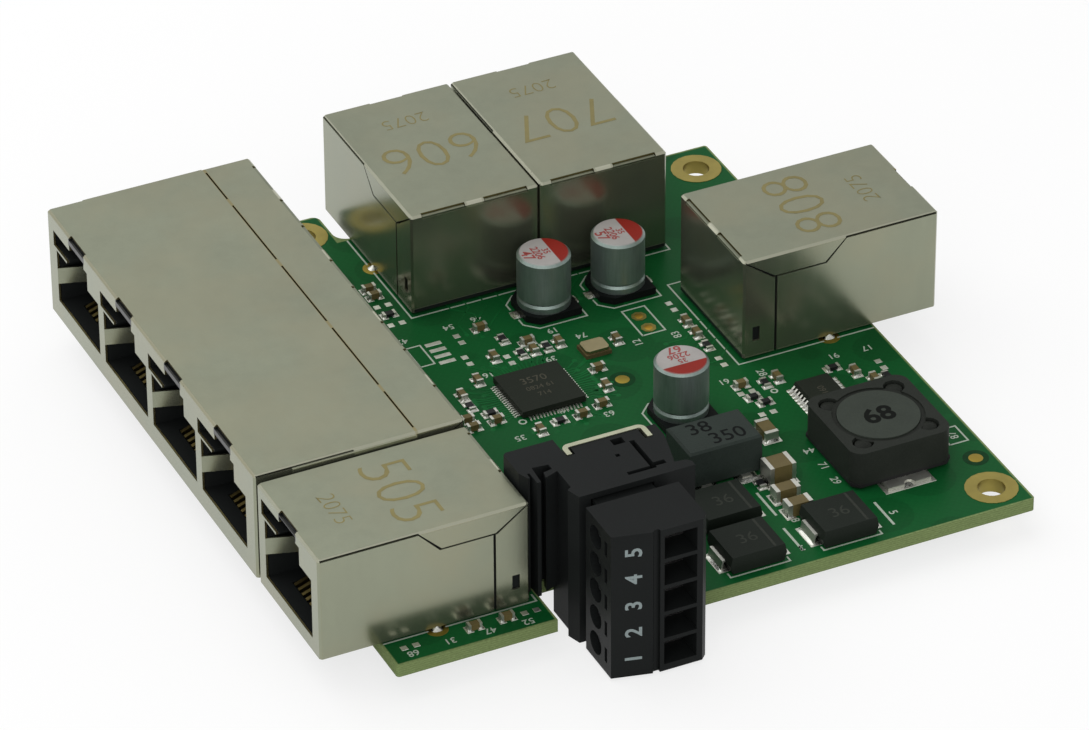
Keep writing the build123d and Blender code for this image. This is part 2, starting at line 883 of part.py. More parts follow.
def plug_outline():
    """Plan outline of the plug's body: flat label facet, groove and wire face."""
    x0 = header_left_x
    x1 = x0 + plug_width
    y1 = header_front_y - plug_shoulder_gap
    y0 = y1 - plug_body_depth
    facet_x = x0 + plug_facet_width
    groove = facet_x + plug_groove_width
    return [
        (x0, y1), (x0, y0 + plug_facet_slope), (facet_x - plug_facet_lead, y0 + plug_facet_step),
        (facet_x, y0 + plug_groove_depth), (groove, y0 + plug_groove_depth), (groove, y0),
        (x1 - plug_corner, y0), (x1, y0 + plug_corner), (x1, y1),
    ]


def plug_cutters(z):
    """Wire entry, screw hole, contact channel and test slot of one pole."""
    x0 = header_left_x
    y1 = header_front_y - plug_shoulder_gap
    y0 = y1 - plug_body_depth
    entry_x1 = x0 + plug_width - wire_entry_inset
    entry_x0 = entry_x1 - wire_entry_width
    half = wire_entry_height / 2
    entry = block(entry_x0, entry_x1, y0 - overcut, y0 + wire_entry_depth, z - half, z + half)
    length = entry_x0 - x0 + overcut
    hole = Pos(entry_x0 - length / 2, y1 - screw_setback, z) * Rot(0, 90, 0)
    hole = hole * many_sided(screw_hole_diameter, length, screw_hole_sides)
    side = pin_width / 2 + nose_clearance
    channel = block(pole_x - side, pole_x + side, y1 - screw_setback, header_back_y, z - side, z + side)
    slot_y = y1 - test_slot_setback
    slot = block(x0 - overcut, x0 + test_slot_depth, slot_y - test_slot_width, slot_y,
                 z - test_slot_height / 2, z + test_slot_height / 2)
    return [entry, hole, channel, slot]


def plug_housing():
    """Moulded plug: body, nose that enters the header and the openings of each pole."""
    half = pole_count * pole_pitch / 2 + plug_end_margin
    body = prism(plug_outline(), header_mid_z - half, header_mid_z + half)
    gap = nose_clearance
    nose_x = header_left_x + cavity_inset_x
    nose_half = cavity_height / 2 - gap
    nose = block(nose_x + gap, nose_x + cavity_width - gap, header_front_y - plug_shoulder_gap - nose_overlap,
                 header_front_y + cavity_depth - gap, header_mid_z - nose_half, header_mid_z + nose_half)
    cutters = [cutter for z in pole_heights for cutter in plug_cutters(z)]
    return body + nose - cutters


def clamp_cages():
    """Clamp cages that hold the wires, one behind each wire entry."""
    x1 = header_left_x + plug_width - wire_entry_inset
    x0 = x1 - wire_entry_width
    y1 = header_front_y - plug_shoulder_gap - plug_body_depth + wire_entry_depth
    y0 = y1 - cage_depth
    half = wire_entry_height / 2
    wall = cage_wall
    cages = []
    for z in pole_heights:
        cage = block(x0, x1, y0, y1, z - half, z + half)
        inside = block(x0 + 2 * wall, x1 - wall, y0 - overcut, y1 + overcut,
                       z - half + wall, z + half - wall)
        cages.append(cage - inside)
    return together(cages)


def clamp_screws():
    """Slotted clamp screws that press on the cages from the left face."""
    tip_x = header_left_x + plug_width - wire_entry_inset - wire_entry_width
    head_x = header_left_x + screw_recess
    length = tip_x - head_x
    y = header_front_y - plug_shoulder_gap - screw_setback
    half = screw_slot / 2
    shank = Pos(length / 2, 0, 0) * Rot(0, 90, 0) * many_sided(screw_diameter, length, screw_sides)
    slot = block(-overcut, screw_slot_depth, -half, half, -screw_diameter, screw_diameter)
    screw = Rot(screw_slot_turn, 0, 0) * (shank - slot)
    return together([Pos(head_x, y, z) * screw for z in pole_heights])


def build_power_connector():
    """Write the header and the plug."""
    pins = [header_pin(index) for index in range(pole_count)]
    save("header_housing", header_housing(pins))
    save("header_pins", together(pins))
    save("header_rear_plate", rear_plate())
    save("plug_housing", plug_housing())
    save("plug_clamp_cages", clamp_cages())
    save("plug_clamp_screws", clamp_screws())


# Parts soldered to the board


def can_profile():
    """Half section of an aluminium can with its rolled rim, neck and rounded crown."""
    r = can_diameter / 2
    z0 = can_base_height
    z1 = can_height
    rim_z = z0 + can_rim_height
    points = [(0, z0), (r, z0), (r, rim_z), (r - can_neck, rim_z + can_neck_height / 2),
              (r, rim_z + can_neck_height), (r, z1 - can_crown), (r - can_crown, z1), (0, z1)]
    return make_face(Plane.XZ * Polyline(*points, close=True))


def build_can_capacitors():
    """Cans, their chamfered bases and their flat leads."""
    can = revolve(can_profile(), Axis.Z)
    half = can_base_size / 2
    cut = can_base_chamfer
    outline = [(-half, -half + cut), (-half + cut, -half), (half, -half), (half, half),
               (-half + cut, half), (-half, half - cut)]
    base = prism(outline, can_lead_thickness, can_base_height)
    wide = can_lead_width / 2
    leads = []
    for index, (x, y, turn) in enumerate(can_places):
        place = Pos(x, y, top) * Rot(0, 0, turn)
        save("can_capacitor_%d_can" % (index + 1), place * can)
        save("can_capacitor_%d_base" % (index + 1), place * base)
        for side in (-1, 1):
            x0, x1 = across(side * can_lead_root, side * (half + can_lead_reach))
            leads.append(place * block(x0, x1, -wide, wide, 0, can_lead_thickness))
    save("can_capacitor_leads", together(leads))


def inductor_frame():
    """Square frame of the inductor with its round bore and a lobe at each corner."""
    floor = 2 * inductor_base
    height = inductor_height - floor
    frame = extrude(RectangleRounded(inductor_size, inductor_size, inductor_corner), amount=height)
    frame = Pos(0, 0, floor) * frame
    bore = inductor_drum_diameter / 2 + inductor_gap
    frame = frame - Pos(0, 0, floor + height / 2) * Cylinder(bore, height + overcut)
    offset = inductor_size / 2 - inductor_lobe_radius - inductor_lobe_inset
    lobe = many_sided(2 * inductor_lobe_radius, height + overcut, inductor_lobe_sides)
    for sx in (-1, 1):
        for sy in (-1, 1):
            frame = frame - Pos(sx * offset, sy * offset, floor + height / 2) * lobe
    return frame


def drum_core():
    """Drum core: two flanges on a narrow waist."""
    floor = 2 * inductor_base
    waist = inductor_height - floor - 2 * drum_flange
    flange = many_sided(inductor_drum_diameter, drum_flange, winding_sides)
    middle = many_sided(inductor_drum_diameter * drum_waist_share, waist, winding_sides)
    crown = Cylinder(inductor_drum_diameter / 2, drum_flange)
    return (Pos(0, 0, floor + drum_flange / 2) * flange + Pos(0, 0, floor + drum_flange + waist / 2) * middle
            + Pos(0, 0, inductor_height - drum_flange / 2) * crown)


def drum_winding():
    """Wire wound in the waist of the drum."""
    floor = 2 * inductor_base
    waist = inductor_height - floor - 2 * drum_flange
    outer = many_sided(inductor_drum_diameter - 2 * winding_gap, waist, winding_sides)
    inner = many_sided(inductor_drum_diameter * drum_waist_share, waist + overcut, winding_sides)
    return Pos(0, 0, floor + drum_flange + waist / 2) * (outer - inner)


def inductor_terminals():
    """Flat terminals at the front and back of the inductor, each notched at its end."""
    half = inductor_size / 2
    wide = inductor_terminal_width / 2
    terminals = []
    for side in (-1, 1):
        outer = side * (half + inductor_terminal_reach)
        y0, y1 = across(side * (half - terminal_root), outer)
        notch = many_sided(terminal_notch, 4 * inductor_base, small_hole_sides)
        terminals.append(block(-wide, wide, y0, y1, 0, inductor_base) - Pos(0, outer, 0) * notch)
    return terminals


def build_inductor():
    """Shielded power inductor: base plate, square frame, drum core, winding and terminals."""
    place = Pos(*inductor_place, top)
    half = inductor_size / 2
    base = block(-half, half, -half, half, inductor_base, 2 * inductor_base)
    base = chamfer(base.edges().filter_by(Axis.Z), inductor_corner / 2)
    save("inductor_frame", place * inductor_frame())
    save("inductor_base", place * base)
    save("inductor_drum", place * drum_core())
    save("inductor_winding", place * drum_winding())
    save("inductor_terminals", together(inductor_terminals(), place))


def build_choke():
    """Common mode choke: moulded block on four feet."""
    place = Pos(*choke_place, top)
    body = block(-choke_length / 2, choke_length / 2, -choke_width / 2, choke_width / 2,
                 choke_lift, choke_height)
    body = chamfer(body.edges().group_by(Axis.Z)[-1], choke_bevel)
    wide = choke_foot_width / 2
    feet = []
    for x in (-choke_foot_spread / 2, choke_foot_spread / 2):
        for side in (-1, 1):
            y0, y1 = across(side * (choke_width / 2 - choke_foot_root),
                            side * (choke_width / 2 + choke_foot_reach))
            feet.append(block(x - wide, x + wide, y0, y1, 0, choke_lift))
    save("choke_body", place * body)
    save("choke_feet", together(feet, place))


def diode_body():
    """Moulded diode body with drafted ends."""
    half = diode_length / 2
    foot = half - diode_end_draft
    crown = half - diode_top_draft
    waist = diode_height / 2
    return side_prism([(-foot, diode_lift), (foot, diode_lift), (half, waist), (crown, diode_height),
                       (-crown, diode_height), (-half, waist)], -diode_width / 2, diode_width / 2)


def diode_terminal(side):
    """Flat terminal bent down the end of a diode and under it."""
    half = diode_length / 2
    out = half + diode_terminal_reach
    t = diode_terminal_thickness
    z = diode_height / 2
    root = half - diode_terminal_root
    foot = half - diode_foot_root
    points = [(root, z - t / 2), (root, z + t / 2), (out - t, z + t / 2), (out, t), (out, 0),
              (foot, 0), (foot, diode_lift), (out - t, diode_lift), (out - 2 * t, z - t / 2)]
    points = [(side * x, y) for x, y in points]
    return side_prism(points, -diode_terminal_width / 2, diode_terminal_width / 2)


def build_diodes():
    """Three surge protection diodes and their terminals."""
    terminals = []
    for index, (x, y) in enumerate(diode_places):
        place = Pos(x, y, top)
        ends = [diode_terminal(side) for side in (-1, 1)]
        save("protection_diode_%d" % (index + 1), place * (diode_body() - ends))
        terminals += [place * end for end in ends]
    save("diode_terminals", together(terminals))


def gull_lead(inner, width, height):
    """One gull-wing lead that leaves a chip body at its middle height."""
    t = lead_thickness
    out = inner + lead_reach
    z = height / 2
    foot = inner + lead_reach / 2
    return side_prism([(inner, z), (foot, t), (out, t), (out, 0), (foot - t, 0), (inner, z - t)],
                      -width / 2, width / 2)


def chip_body(length, width, height):
    """Moulded chip body with drafted sides."""
    small = Rectangle(length - 2 * chip_draft, width - 2 * chip_draft)
    large = Rectangle(length, width)
    lower = loft([Pos(0, 0, chip_lift) * small, Pos(0, 0, height / 2) * large])
    upper = loft([Pos(0, 0, height / 2) * large, Pos(0, 0, height) * small])
    return lower + upper


def row_offsets(count, pitch):
    """Places of the leads of one row from its middle."""
    return [(index - (count - 1) / 2) * pitch for index in range(count)]


def build_controller():
    """Switch controller: a sawn block on a row of edge pads at each side."""
    place = Pos(*controller_place, top)
    half = controller_size / 2
    save("controller_chip", place * block(-half, half, -half, half, controller_pad_height, controller_height))
    wide = controller_pad_width / 2
    pad = block(half - controller_pad_root, half + controller_pad_reach, -wide, wide,
                0, controller_pad_height)
    pads = [Rot(0, 0, 90 * turn) * Pos(0, y, 0) * pad
            for turn in range(4) for y in row_offsets(controller_leads, controller_pitch)]
    save("controller_leads", together(pads, place))


def build_regulator():
    """Regulator with gull-wing leads on two sides."""
    place = Pos(*regulator_place, top)
    save("regulator_chip", place * chip_body(regulator_width, regulator_length, regulator_height))
    lead = gull_lead(regulator_width / 2, regulator_lead_width, regulator_height)
    leads = [Rot(0, 0, 180 * turn) * Pos(0, y, 0) * lead
             for turn in range(2) for y in row_offsets(regulator_leads, regulator_pitch)]
    save("regulator_leads", together(leads, place))


def build_crystal():
    """Crystal: ceramic tray and metal lid."""
    place = Pos(*crystal_place, top)
    long = crystal_length / 2
    wide = crystal_width / 2
    gap = crystal_lid_margin
    lid = block(gap - long, long - gap, gap - wide, wide - gap, crystal_tray_height, crystal_height)
    lid = chamfer(lid.edges().filter_by(Axis.Z), crystal_lid_corner)
    save("crystal_tray", place * block(-long, long, -wide, wide, 0, crystal_tray_height))
    save("crystal_lid", place * lid)


def chip_pieces(x, y, length, width, height, end, turned):
    """Body and two metal ends of one leadless chip part."""
    place = Pos(x, y, top) * Rot(0, 0, 90 * turned)
    inner = length / 2 - end
    skin = chip_end_skin
    body = block(-inner, inner, -width / 2 + skin, width / 2 - skin, 0, height - skin)
    ends = [block(-length / 2, -inner, -width / 2, width / 2, 0, height),
            block(inner, length / 2, -width / 2, width / 2, 0, height)]
    return place * body, [place * piece for piece in ends]


def build_leadless_parts():
    """Ceramic capacitors and resistors with their metal ends."""
    bodies = []
    ends = []
    for x, y, turned in small_capacitors:
        body, pair = chip_pieces(x, y, chip_length, chip_width, chip_height, chip_end, turned)
        bodies.append(body)
        ends += pair
    save("small_capacitor_bodies", together(bodies))
    save("small_capacitor_ends", together(ends))
    bodies = []
    ends = []
    for x, y, turned in small_resistors:
        body, pair = chip_pieces(x, y, chip_length, chip_width, resistor_height, chip_end, turned)
        bodies.append(body)
        ends += pair
    save("resistor_bodies", together(bodies))
    save("resistor_ends", together(ends))
    bodies = []
    ends = []
    for x, y, length, width, height, turned in large_capacitors:
        body, pair = chip_pieces(x, y, length, width, height, large_chip_end, turned)
        bodies.append(body)
        ends += pair
    save("large_capacitor_bodies", together(bodies))
    save("large_capacitor_ends", together(ends))


def board_outline():
    """Outline of the board with its tab, its front step and the notch for the header."""
    notch_x0 = header_left_x - notch_left_clearance
    notch_x1 = header_right_x + notch_right_clearance
    notch_y = header_step_y + notch_back_clearance
    return [
        (left_x, front_left_y), (notch_x0, front_left_y), (notch_x0, notch_y), (notch_x1, notch_y),
        (notch_x1, front_right_y), (right_x, front_right_y), (right_x, back_y), (tab_right_x, back_y),
        (tab_right_x, tab_back_y), (left_x, tab_back_y),
    ]


def rounded_corners():
    """Plan positions and radii of the board's rounded corners."""
    return [
        (tab_right_x, tab_back_y, tab_outer_radius), (tab_right_x, back_y, tab_inner_radius),
        (left_x, front_left_y, board_corner_radius), (left_x, tab_back_y, board_corner_radius),
        (right_x, front_right_y, board_corner_radius), (right_x, back_y, board_corner_radius),
    ]


def upright_edge(shape, x, y):
    """The upright edge of a shape at a plan position."""
    place = Vector(x, y, 0)
    return [edge for edge in shape.edges().filter_by(Axis.Z)
            if (Vector(edge.center().X, edge.center().Y, 0) - place).length < corner_tolerance]


def test_holes():
    """Places of the two plated test holes."""
    x, y = test_place
    return [(x, y - test_hole_pitch / 2), (x, y + test_hole_pitch / 2)]


def build_board(jack_cutters):
    """Circuit board with its holes, slots and rounded tab, and the plated rings."""
    board = prism(board_outline(), 0, board_thickness)
    for x, y, radius in rounded_corners():
        board = fillet(upright_edge(board, x, y), radius)
    length = 3 * board_thickness
    mount_hole = Cylinder(mount_hole_diameter / 2, length)
    test_hole = many_sided(test_hole_diameter, length, small_hole_sides)
    pin_hole = many_sided(pin_hole_diameter, length, small_hole_sides)
    cutters = [Pos(x, y, 0) * mount_hole for x, y in mount_holes]
    cutters += [Pos(x, y, 0) * test_hole for x, y in test_holes()]
    cutters += [Pos(x, chamber_mid_y, 0) * pin_hole for x in pin_feet]
    save("circuit_board", board - cutters - jack_cutters)
    mount_ring = plated_ring(mount_ring_diameter, mount_hole_diameter, ring_sides)
    test_ring = plated_ring(test_ring_diameter, test_hole_diameter, small_hole_sides)
    rings = [Pos(x, y, 0) * mount_ring for x, y in mount_holes]
    rings += [Pos(x, y, 0) * test_ring for x, y in test_holes()]
    save("plated_rings", together(rings))


def plated_ring(outer, inner, sides):
    """A plated ring that lies on the upper face of the board round a hole."""
    ring = many_sided(outer, ring_thickness, sides) - many_sided(inner, 2 * ring_thickness, sides)
    return Pos(0, 0, top + ring_thickness / 2) * ring


build_board(build_jacks())
build_power_connector()
build_can_capacitors()
build_inductor()
build_choke()
build_diodes()
build_controller()
build_regulator()
build_crystal()
build_leadless_parts()
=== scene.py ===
"""Looks of a bare industrial network switch board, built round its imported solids."""

import math

import bpy
import numpy as np
from bpy.props import FloatProperty, FloatVectorProperty, PointerProperty
from mathutils import Matrix, Vector


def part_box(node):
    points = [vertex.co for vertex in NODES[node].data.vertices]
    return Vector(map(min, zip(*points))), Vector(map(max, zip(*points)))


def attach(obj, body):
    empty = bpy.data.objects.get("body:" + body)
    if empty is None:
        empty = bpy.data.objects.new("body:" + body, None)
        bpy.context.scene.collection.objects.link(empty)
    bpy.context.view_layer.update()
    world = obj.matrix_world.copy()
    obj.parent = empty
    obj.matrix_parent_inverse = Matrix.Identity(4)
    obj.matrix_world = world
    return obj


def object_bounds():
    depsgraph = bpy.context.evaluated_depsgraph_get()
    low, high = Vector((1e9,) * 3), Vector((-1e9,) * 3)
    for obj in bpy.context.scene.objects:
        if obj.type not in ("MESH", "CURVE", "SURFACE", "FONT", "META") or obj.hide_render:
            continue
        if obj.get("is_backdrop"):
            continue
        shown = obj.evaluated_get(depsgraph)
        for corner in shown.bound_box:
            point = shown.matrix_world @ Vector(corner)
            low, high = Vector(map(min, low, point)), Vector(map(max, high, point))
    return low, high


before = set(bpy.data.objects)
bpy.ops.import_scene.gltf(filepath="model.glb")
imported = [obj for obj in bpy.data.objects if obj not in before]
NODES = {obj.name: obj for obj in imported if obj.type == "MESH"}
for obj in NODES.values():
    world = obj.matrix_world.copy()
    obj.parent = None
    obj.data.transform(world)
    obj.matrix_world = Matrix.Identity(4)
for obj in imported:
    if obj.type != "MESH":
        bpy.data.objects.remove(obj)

bl_info = {
    "name": "Network switch board",
    "version": (1, 0, 0),
    "blender": (4, 5, 0),
    "location": "View3D > Sidebar > Switch Board",
    "description": "Finishes, print, solder and stage for a bare network switch board",
    "category": "Object",
}

# Lengths and places are millimetres in the part's own frame, unless they are multiplied by MM.
MM = 0.001
BOARD_TOP = 1.6
BASE = "board_module"
PLUG = "plug"
SINGLE_JACKS = ("jack_5", "jack_6", "jack_7", "jack_8")
JACKS = SINGLE_JACKS + ("four_port_jack",)
# Of each jack: the sign and axis of the way its port faces, then the axis across it.
JACK_FRONTS = {"jack_5": (-1, 0, 1), "jack_6": (1, 1, 0), "jack_7": (1, 1, 0), "jack_8": (1, 0, 1),
               "four_port_jack": (-1, 0, 1)}
# Thickness of a shield's sheet, how far its earth tabs lie behind the port face, and the pitches of
# the ports and of the power connector's poles.
SHEET = 0.25
TAB_INSET = 13.8
PORT_PITCH = 13.97
POLE_PITCH = 3.5
# Heights over what they lie on: print, a mark on a part's top, and a plated pad.
PRINT_LIFT = 0.02
MARK_LIFT = 0.012
PAD_HEIGHT = 0.035
# A mound's squareness when it is round.
ROUND = 2.0


def node_box(name):
    """Lowest and highest corner of a solid at rest."""
    low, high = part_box(name)
    return np.array(low) / MM, np.array(high) / MM


def jack_point(name, inset, across):
    """A plan point of a jack: inset behind its port face, across from its middle."""
    sign, along, side = JACK_FRONTS[name]
    low, high = node_box(name + "_shield")
    point = np.zeros(2)
    point[along] = (high if sign > 0 else low)[along] - sign * inset
    point[side] = (low[side] + high[side]) / 2 + across
    return point


def port_offsets(name):
    """Places of a jack's ports across it."""
    return (np.arange(4) - 1.5) * PORT_PITCH if name == "four_port_jack" else np.zeros(1)


def earth_tabs():
    """Plan places of the two earth tabs of each jack."""
    spots = []
    for name in JACKS:
        low, high = node_box(name + "_housing")
        half = (high - low)[JACK_FRONTS[name][2]] / 2 + SHEET
        spots += [jack_point(name, TAB_INSET, half), jack_point(name, TAB_INSET, -half)]
    return np.array(spots)


def islands(name):
    """Low and high corner of each separate solid of a node, found by joining triangles that share a
    corner until no number changes."""
    mesh = NODES[name].data
    place = np.zeros(len(mesh.vertices) * 3)
    mesh.vertices.foreach_get("co", place)
    place = place.reshape(-1, 3) / MM
    loops = np.zeros(len(mesh.loops), int)
    mesh.loops.foreach_get("vertex_index", loops)
    _, same = np.unique(place.round(3), axis=0, return_inverse=True)
    same = same.ravel()
    triangles = same[loops.reshape(-1, 3)]
    label = np.arange(same.max() + 1)
    settled = False
    while not settled:
        smallest = label[triangles].min(1)
        fresh = label.copy()
        for corner in range(3):
            np.minimum.at(fresh, triangles[:, corner], smallest)
        settled = bool((fresh == label).all())
        label = fresh
    groups = label[same]
    numbers = np.unique(groups)
    lows = np.array([place[groups == number].min(0) for number in numbers])
    highs = np.array([place[groups == number].max(0) for number in numbers])
    return lows, highs


def footprints(name):
    """Plan middle, plan half size and height of each separate solid of a node."""
    lows, highs = islands(name)
    size = highs - lows
    return (lows + highs)[:, :2] / 2, size[:, :2] / 2, size[:, 2]


# Shapes worked out as whole arrays


def grid_faces(rows, columns, wrap_rows=False, wrap_columns=False):
    """Four-sided faces of a grid of corners that are numbered row by row."""
    row = np.arange(rows if wrap_rows else rows - 1)
    column = np.arange(columns if wrap_columns else columns - 1)
    row, column = [a.ravel() for a in np.meshgrid(row, column, indexing="ij")]
    after = (column + 1) % columns
    below = (row + 1) % rows
    return np.stack([row * columns + column, row * columns + after,
                     below * columns + after, below * columns + column], 1)


def repeated(points, faces):
    """Like shapes, one a row of points, as one shape: each copy's faces count on from the last."""
    start = np.arange(len(points)) * points.shape[1]
    return points.reshape(-1, 3), (faces[None] + start[:, None, None]).reshape(-1, faces.shape[1])


def joined(shapes):
    """Several (points, faces) shapes as one list of points and one list of faces."""
    points = []
    faces = []
    start = 0
    for corners, rows in shapes:
        points.append(np.asarray(corners, float))
        faces += [[int(corner) + start for corner in row] for row in rows]
        start += len(corners)
    return np.concatenate(points), faces


def disc_faces(rings, around, up):
    """Faces of a disc: corner 0 is its middle, then rings of corners outwards."""
    step = np.arange(around)
    after = (step + 1) % around
    fan = np.stack([np.zeros_like(step), step + 1, after + 1, after + 1], 1)
    bands = grid_faces(rings, around, wrap_columns=True)[:, ::-1] + 1
    faces = np.concatenate([fan, bands])
    return faces if up else faces[:, ::-1]


def rounded(angle, squareness):
    """Unit rounded square: cosine and sine, each to the power 2 / squareness with its sign kept."""
    power = 2.0 / squareness
    cosine = np.cos(angle)
    sine = np.sin(angle)
    return np.sign(cosine) * np.abs(cosine) ** power, np.sign(sine) * np.abs(sine) ** power


def mounds(centres, halves, heights, floor, squareness, steepness, rings, around):
    """Mounds over rounded rectangles. With r from 0 in the middle to 1 at the edge, and C and S of
    the rounded square: x = cx + hx r C, y = cy + hy r S, z = floor + height (1 - r) ** steepness.
    A height below zero hangs under its floor."""
    centres = np.asarray(centres, float).reshape(-1, 2)
    halves = np.broadcast_to(np.asarray(halves, float), centres.shape)
    heights = np.broadcast_to(np.asarray(heights, float), len(centres))
    c, s = rounded(np.linspace(0, 2 * np.pi, around, endpoint=False), squareness)
    r = np.linspace(0, 1, rings + 1)[1:]
    x = centres[:, 0, None, None] + halves[:, 0, None, None] * r[None, :, None] * c
    y = centres[:, 1, None, None] + halves[:, 1, None, None] * r[None, :, None] * s
    fall = (1 - r) ** steepness
    z = floor + heights[:, None, None] * fall[None, :, None] + np.zeros_like(x)
    rim = np.stack([x, y, z], -1).reshape(len(centres), -1, 3)
    middle = np.concatenate([centres, floor + heights[:, None]], 1)[:, None, :]
    faces = disc_faces(rings, around, bool(np.all(heights >= 0)))
    return repeated(np.concatenate([middle, rim], 1), faces)


def ribbon(path, width, height, z, closed=False):
    """A printed or plated strip along a path. Each corner is pushed out along the mean of the two
    neighbouring normals, over the cosine of half the turn: p + n (width / 2) / cos(half turn)."""
    path = np.asarray(path, float)
    if closed:
        before = path - np.roll(path, 1, 0)
        after = np.roll(path, -1, 0) - path
    else:
        run = np.diff(path, axis=0)
        before = np.concatenate([run[:1], run])
        after = np.concatenate([run, run[-1:]])
    before = before / np.linalg.norm(before, axis=1)[:, None]
    after = after / np.linalg.norm(after, axis=1)[:, None]
    mean = before + after
    mean = mean / np.linalg.norm(mean, axis=1)[:, None]
    normal = np.stack([-mean[:, 1], mean[:, 0]], 1)
    spread = width / 2 / np.clip((mean * after).sum(1), 0.4, 1)[:, None]
    left = path + normal * spread
    right = path - normal * spread
    low = np.full((len(path), 1), z)
    high = np.full((len(path), 1), z + height)
    rows = [np.hstack(pair) for pair in ((right, low), (right, high), (left, high), (left, low))]
    return np.stack(rows, 1).reshape(-1, 3), grid_faces(len(path), 4, wrap_rows=closed)[:, ::-1]


def circle(centre, radius, count=28):
    """Points of a circle in plan: centre + radius (cos t, sin t)."""
    angle = np.linspace(0, 2 * np.pi, count, endpoint=False)
    return np.stack([centre[0] + radius * np.cos(angle), centre[1] + radius * np.sin(angle)], 1)


def blocks(lows, highs, soften):
    """Upright blocks between pairs of corners, their upper edge drawn in by soften."""
    lows = np.asarray(lows, float)
    highs = np.asarray(highs, float)
    corner = np.array([[0, 0], [1, 0], [1, 1], [0, 1]], float)
    inset = np.array([[1, 1], [-1, 1], [-1, -1], [1, -1]], float) * soften
    base = lows[:, None, :2] + corner * (highs - lows)[:, None, :2]
    foot = np.repeat(lows[:, None, 2:], 4, 1)
    roof = np.repeat(highs[:, None, 2:], 4, 1)
    layers = [np.concatenate(pair, 2) for pair in ((base, foot), (base, roof - soften), (base + inset, roof))]
    faces = np.concatenate([grid_faces(3, 4, wrap_columns=True), [[8, 9, 10, 11], [3, 2, 1, 0]]])
    return repeated(np.concatenate(layers, 1), faces)


def flat_ring(centre, inner, outer, low, high, around=48):
    """A flat ring between two radii and two heights: its outline of (radius, height) turned about an
    upright axis, x = cx + r cos t, y = cy + r sin t."""
    outline = np.array([(inner, low), (inner, high), (outer, high), (outer, low)], float)
    angle = np.linspace(0, 2 * np.pi, around, endpoint=False)
    x = centre[0] + outline[:, 0, None] * np.cos(angle)
    y = centre[1] + outline[:, 0, None] * np.sin(angle)
    z = np.broadcast_to(outline[:, 1, None], x.shape)
    points = np.stack([x, y, z], -1).reshape(-1, 3)
    return points, grid_faces(4, around, wrap_rows=True, wrap_columns=True)


def lettering(text, height, centre, up, bold=0.0, right=None):
    """Plain numbers as a flat mesh: p = centre + u right + v up. On a level face, right is up turned
    by a quarter, clockwise from above. For any other face it is given."""
    curve = bpy.data.curves.new("number", "FONT")
    curve.body = text
    curve.size = 1.0
    curve.resolution_u = 3
    curve.offset = bold
    holder = bpy.data.objects.new("number", curve)
    bpy.context.scene.collection.objects.link(holder)
    graph = bpy.context.evaluated_depsgraph_get()
    mesh = bpy.data.meshes.new_from_object(holder.evaluated_get(graph))
    flat = np.zeros(len(mesh.vertices) * 3)
    mesh.vertices.foreach_get("co", flat)
    flat = flat.reshape(-1, 3)[:, :2]
    faces = [list(polygon.vertices) for polygon in mesh.polygons]
    bpy.data.objects.remove(holder)
    bpy.data.curves.remove(curve)
    bpy.data.meshes.remove(mesh)
    low = flat.min(0)
    high = flat.max(0)
    flat = (flat - (low + high) / 2) * (height / (high[1] - low[1]))
    up = np.asarray(up, float)
    right = np.array([up[1], -up[0], 0.0] if right is None else right, float)
    return np.asarray(centre, float) + flat[:, :1] * right + flat[:, 1:] * up, faces


def number_on(name, text, height, up, shift=(0.0, 0.0), bold=0.0, lift=MARK_LIFT):
    """A plain number flat on the top of a solid, shifted from the middle of that top."""
    low, high = node_box(name)
    x, y = (low + high)[:2] / 2 + shift
    return lettering(text, height, (x, y, high[2] + lift), up, bold)


def piece(name, shape, finish, body=BASE, smooth=True):
    """A finished piece: its mesh in metres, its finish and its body. A face that names a
    corner twice becomes a triangle. A smooth piece keeps its edges sharp past the crease angle."""
    crease = math.radians(35.0)
    points, faces = shape
    mesh = bpy.data.meshes.new(name)
    mesh.from_pydata((points * MM).tolist(), [], [list(dict.fromkeys(map(int, face))) for face in faces])
    mesh.validate()
    mesh.materials.append(finish.material)
    made = bpy.data.objects.new(name, mesh)
    bpy.context.scene.collection.objects.link(made)
    if smooth:
        mesh.shade_smooth()
        mesh.set_sharp_from_angle(angle=crease)
    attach(made, body)


# Finishes as node trees


class Value:
    """A node socket with arithmetic: an expression on values adds its Math nodes."""

    def __init__(self, nodes, socket):
        self.nodes = nodes
        self.socket = socket

    def math(self, operation, *terms):
        """A Math node whose inputs are the terms in their order."""
        return self.nodes.node("ShaderNodeMath", {"operation": operation}, dict(enumerate(terms)))

    def __add__(self, other):
        return self.math("ADD", self, other)

    __radd__ = __add__

    def __sub__(self, other):
        return self.math("SUBTRACT", self, other)

    def __rsub__(self, other):
        return self.math("SUBTRACT", other, self)

    def __mul__(self, other):
        return self.math("MULTIPLY", self, other)

    __rmul__ = __mul__

    def __neg__(self):
        return self * -1.0

    def __abs__(self):
        return self.math("ABSOLUTE", self)

    def sine(self):
        return self.math("SINE", self)

    def low(self, other):
        return self.math("MINIMUM", self, other)

    def high(self, other):
        return self.math("MAXIMUM", self, other)

    def clamp(self):
        return self.high(0.0).low(1.0)

    def ramp(self, start, end):
        """0 at start, 1 at end, straight between."""
        return ((self - start) * (1.0 / (end - start))).clamp()


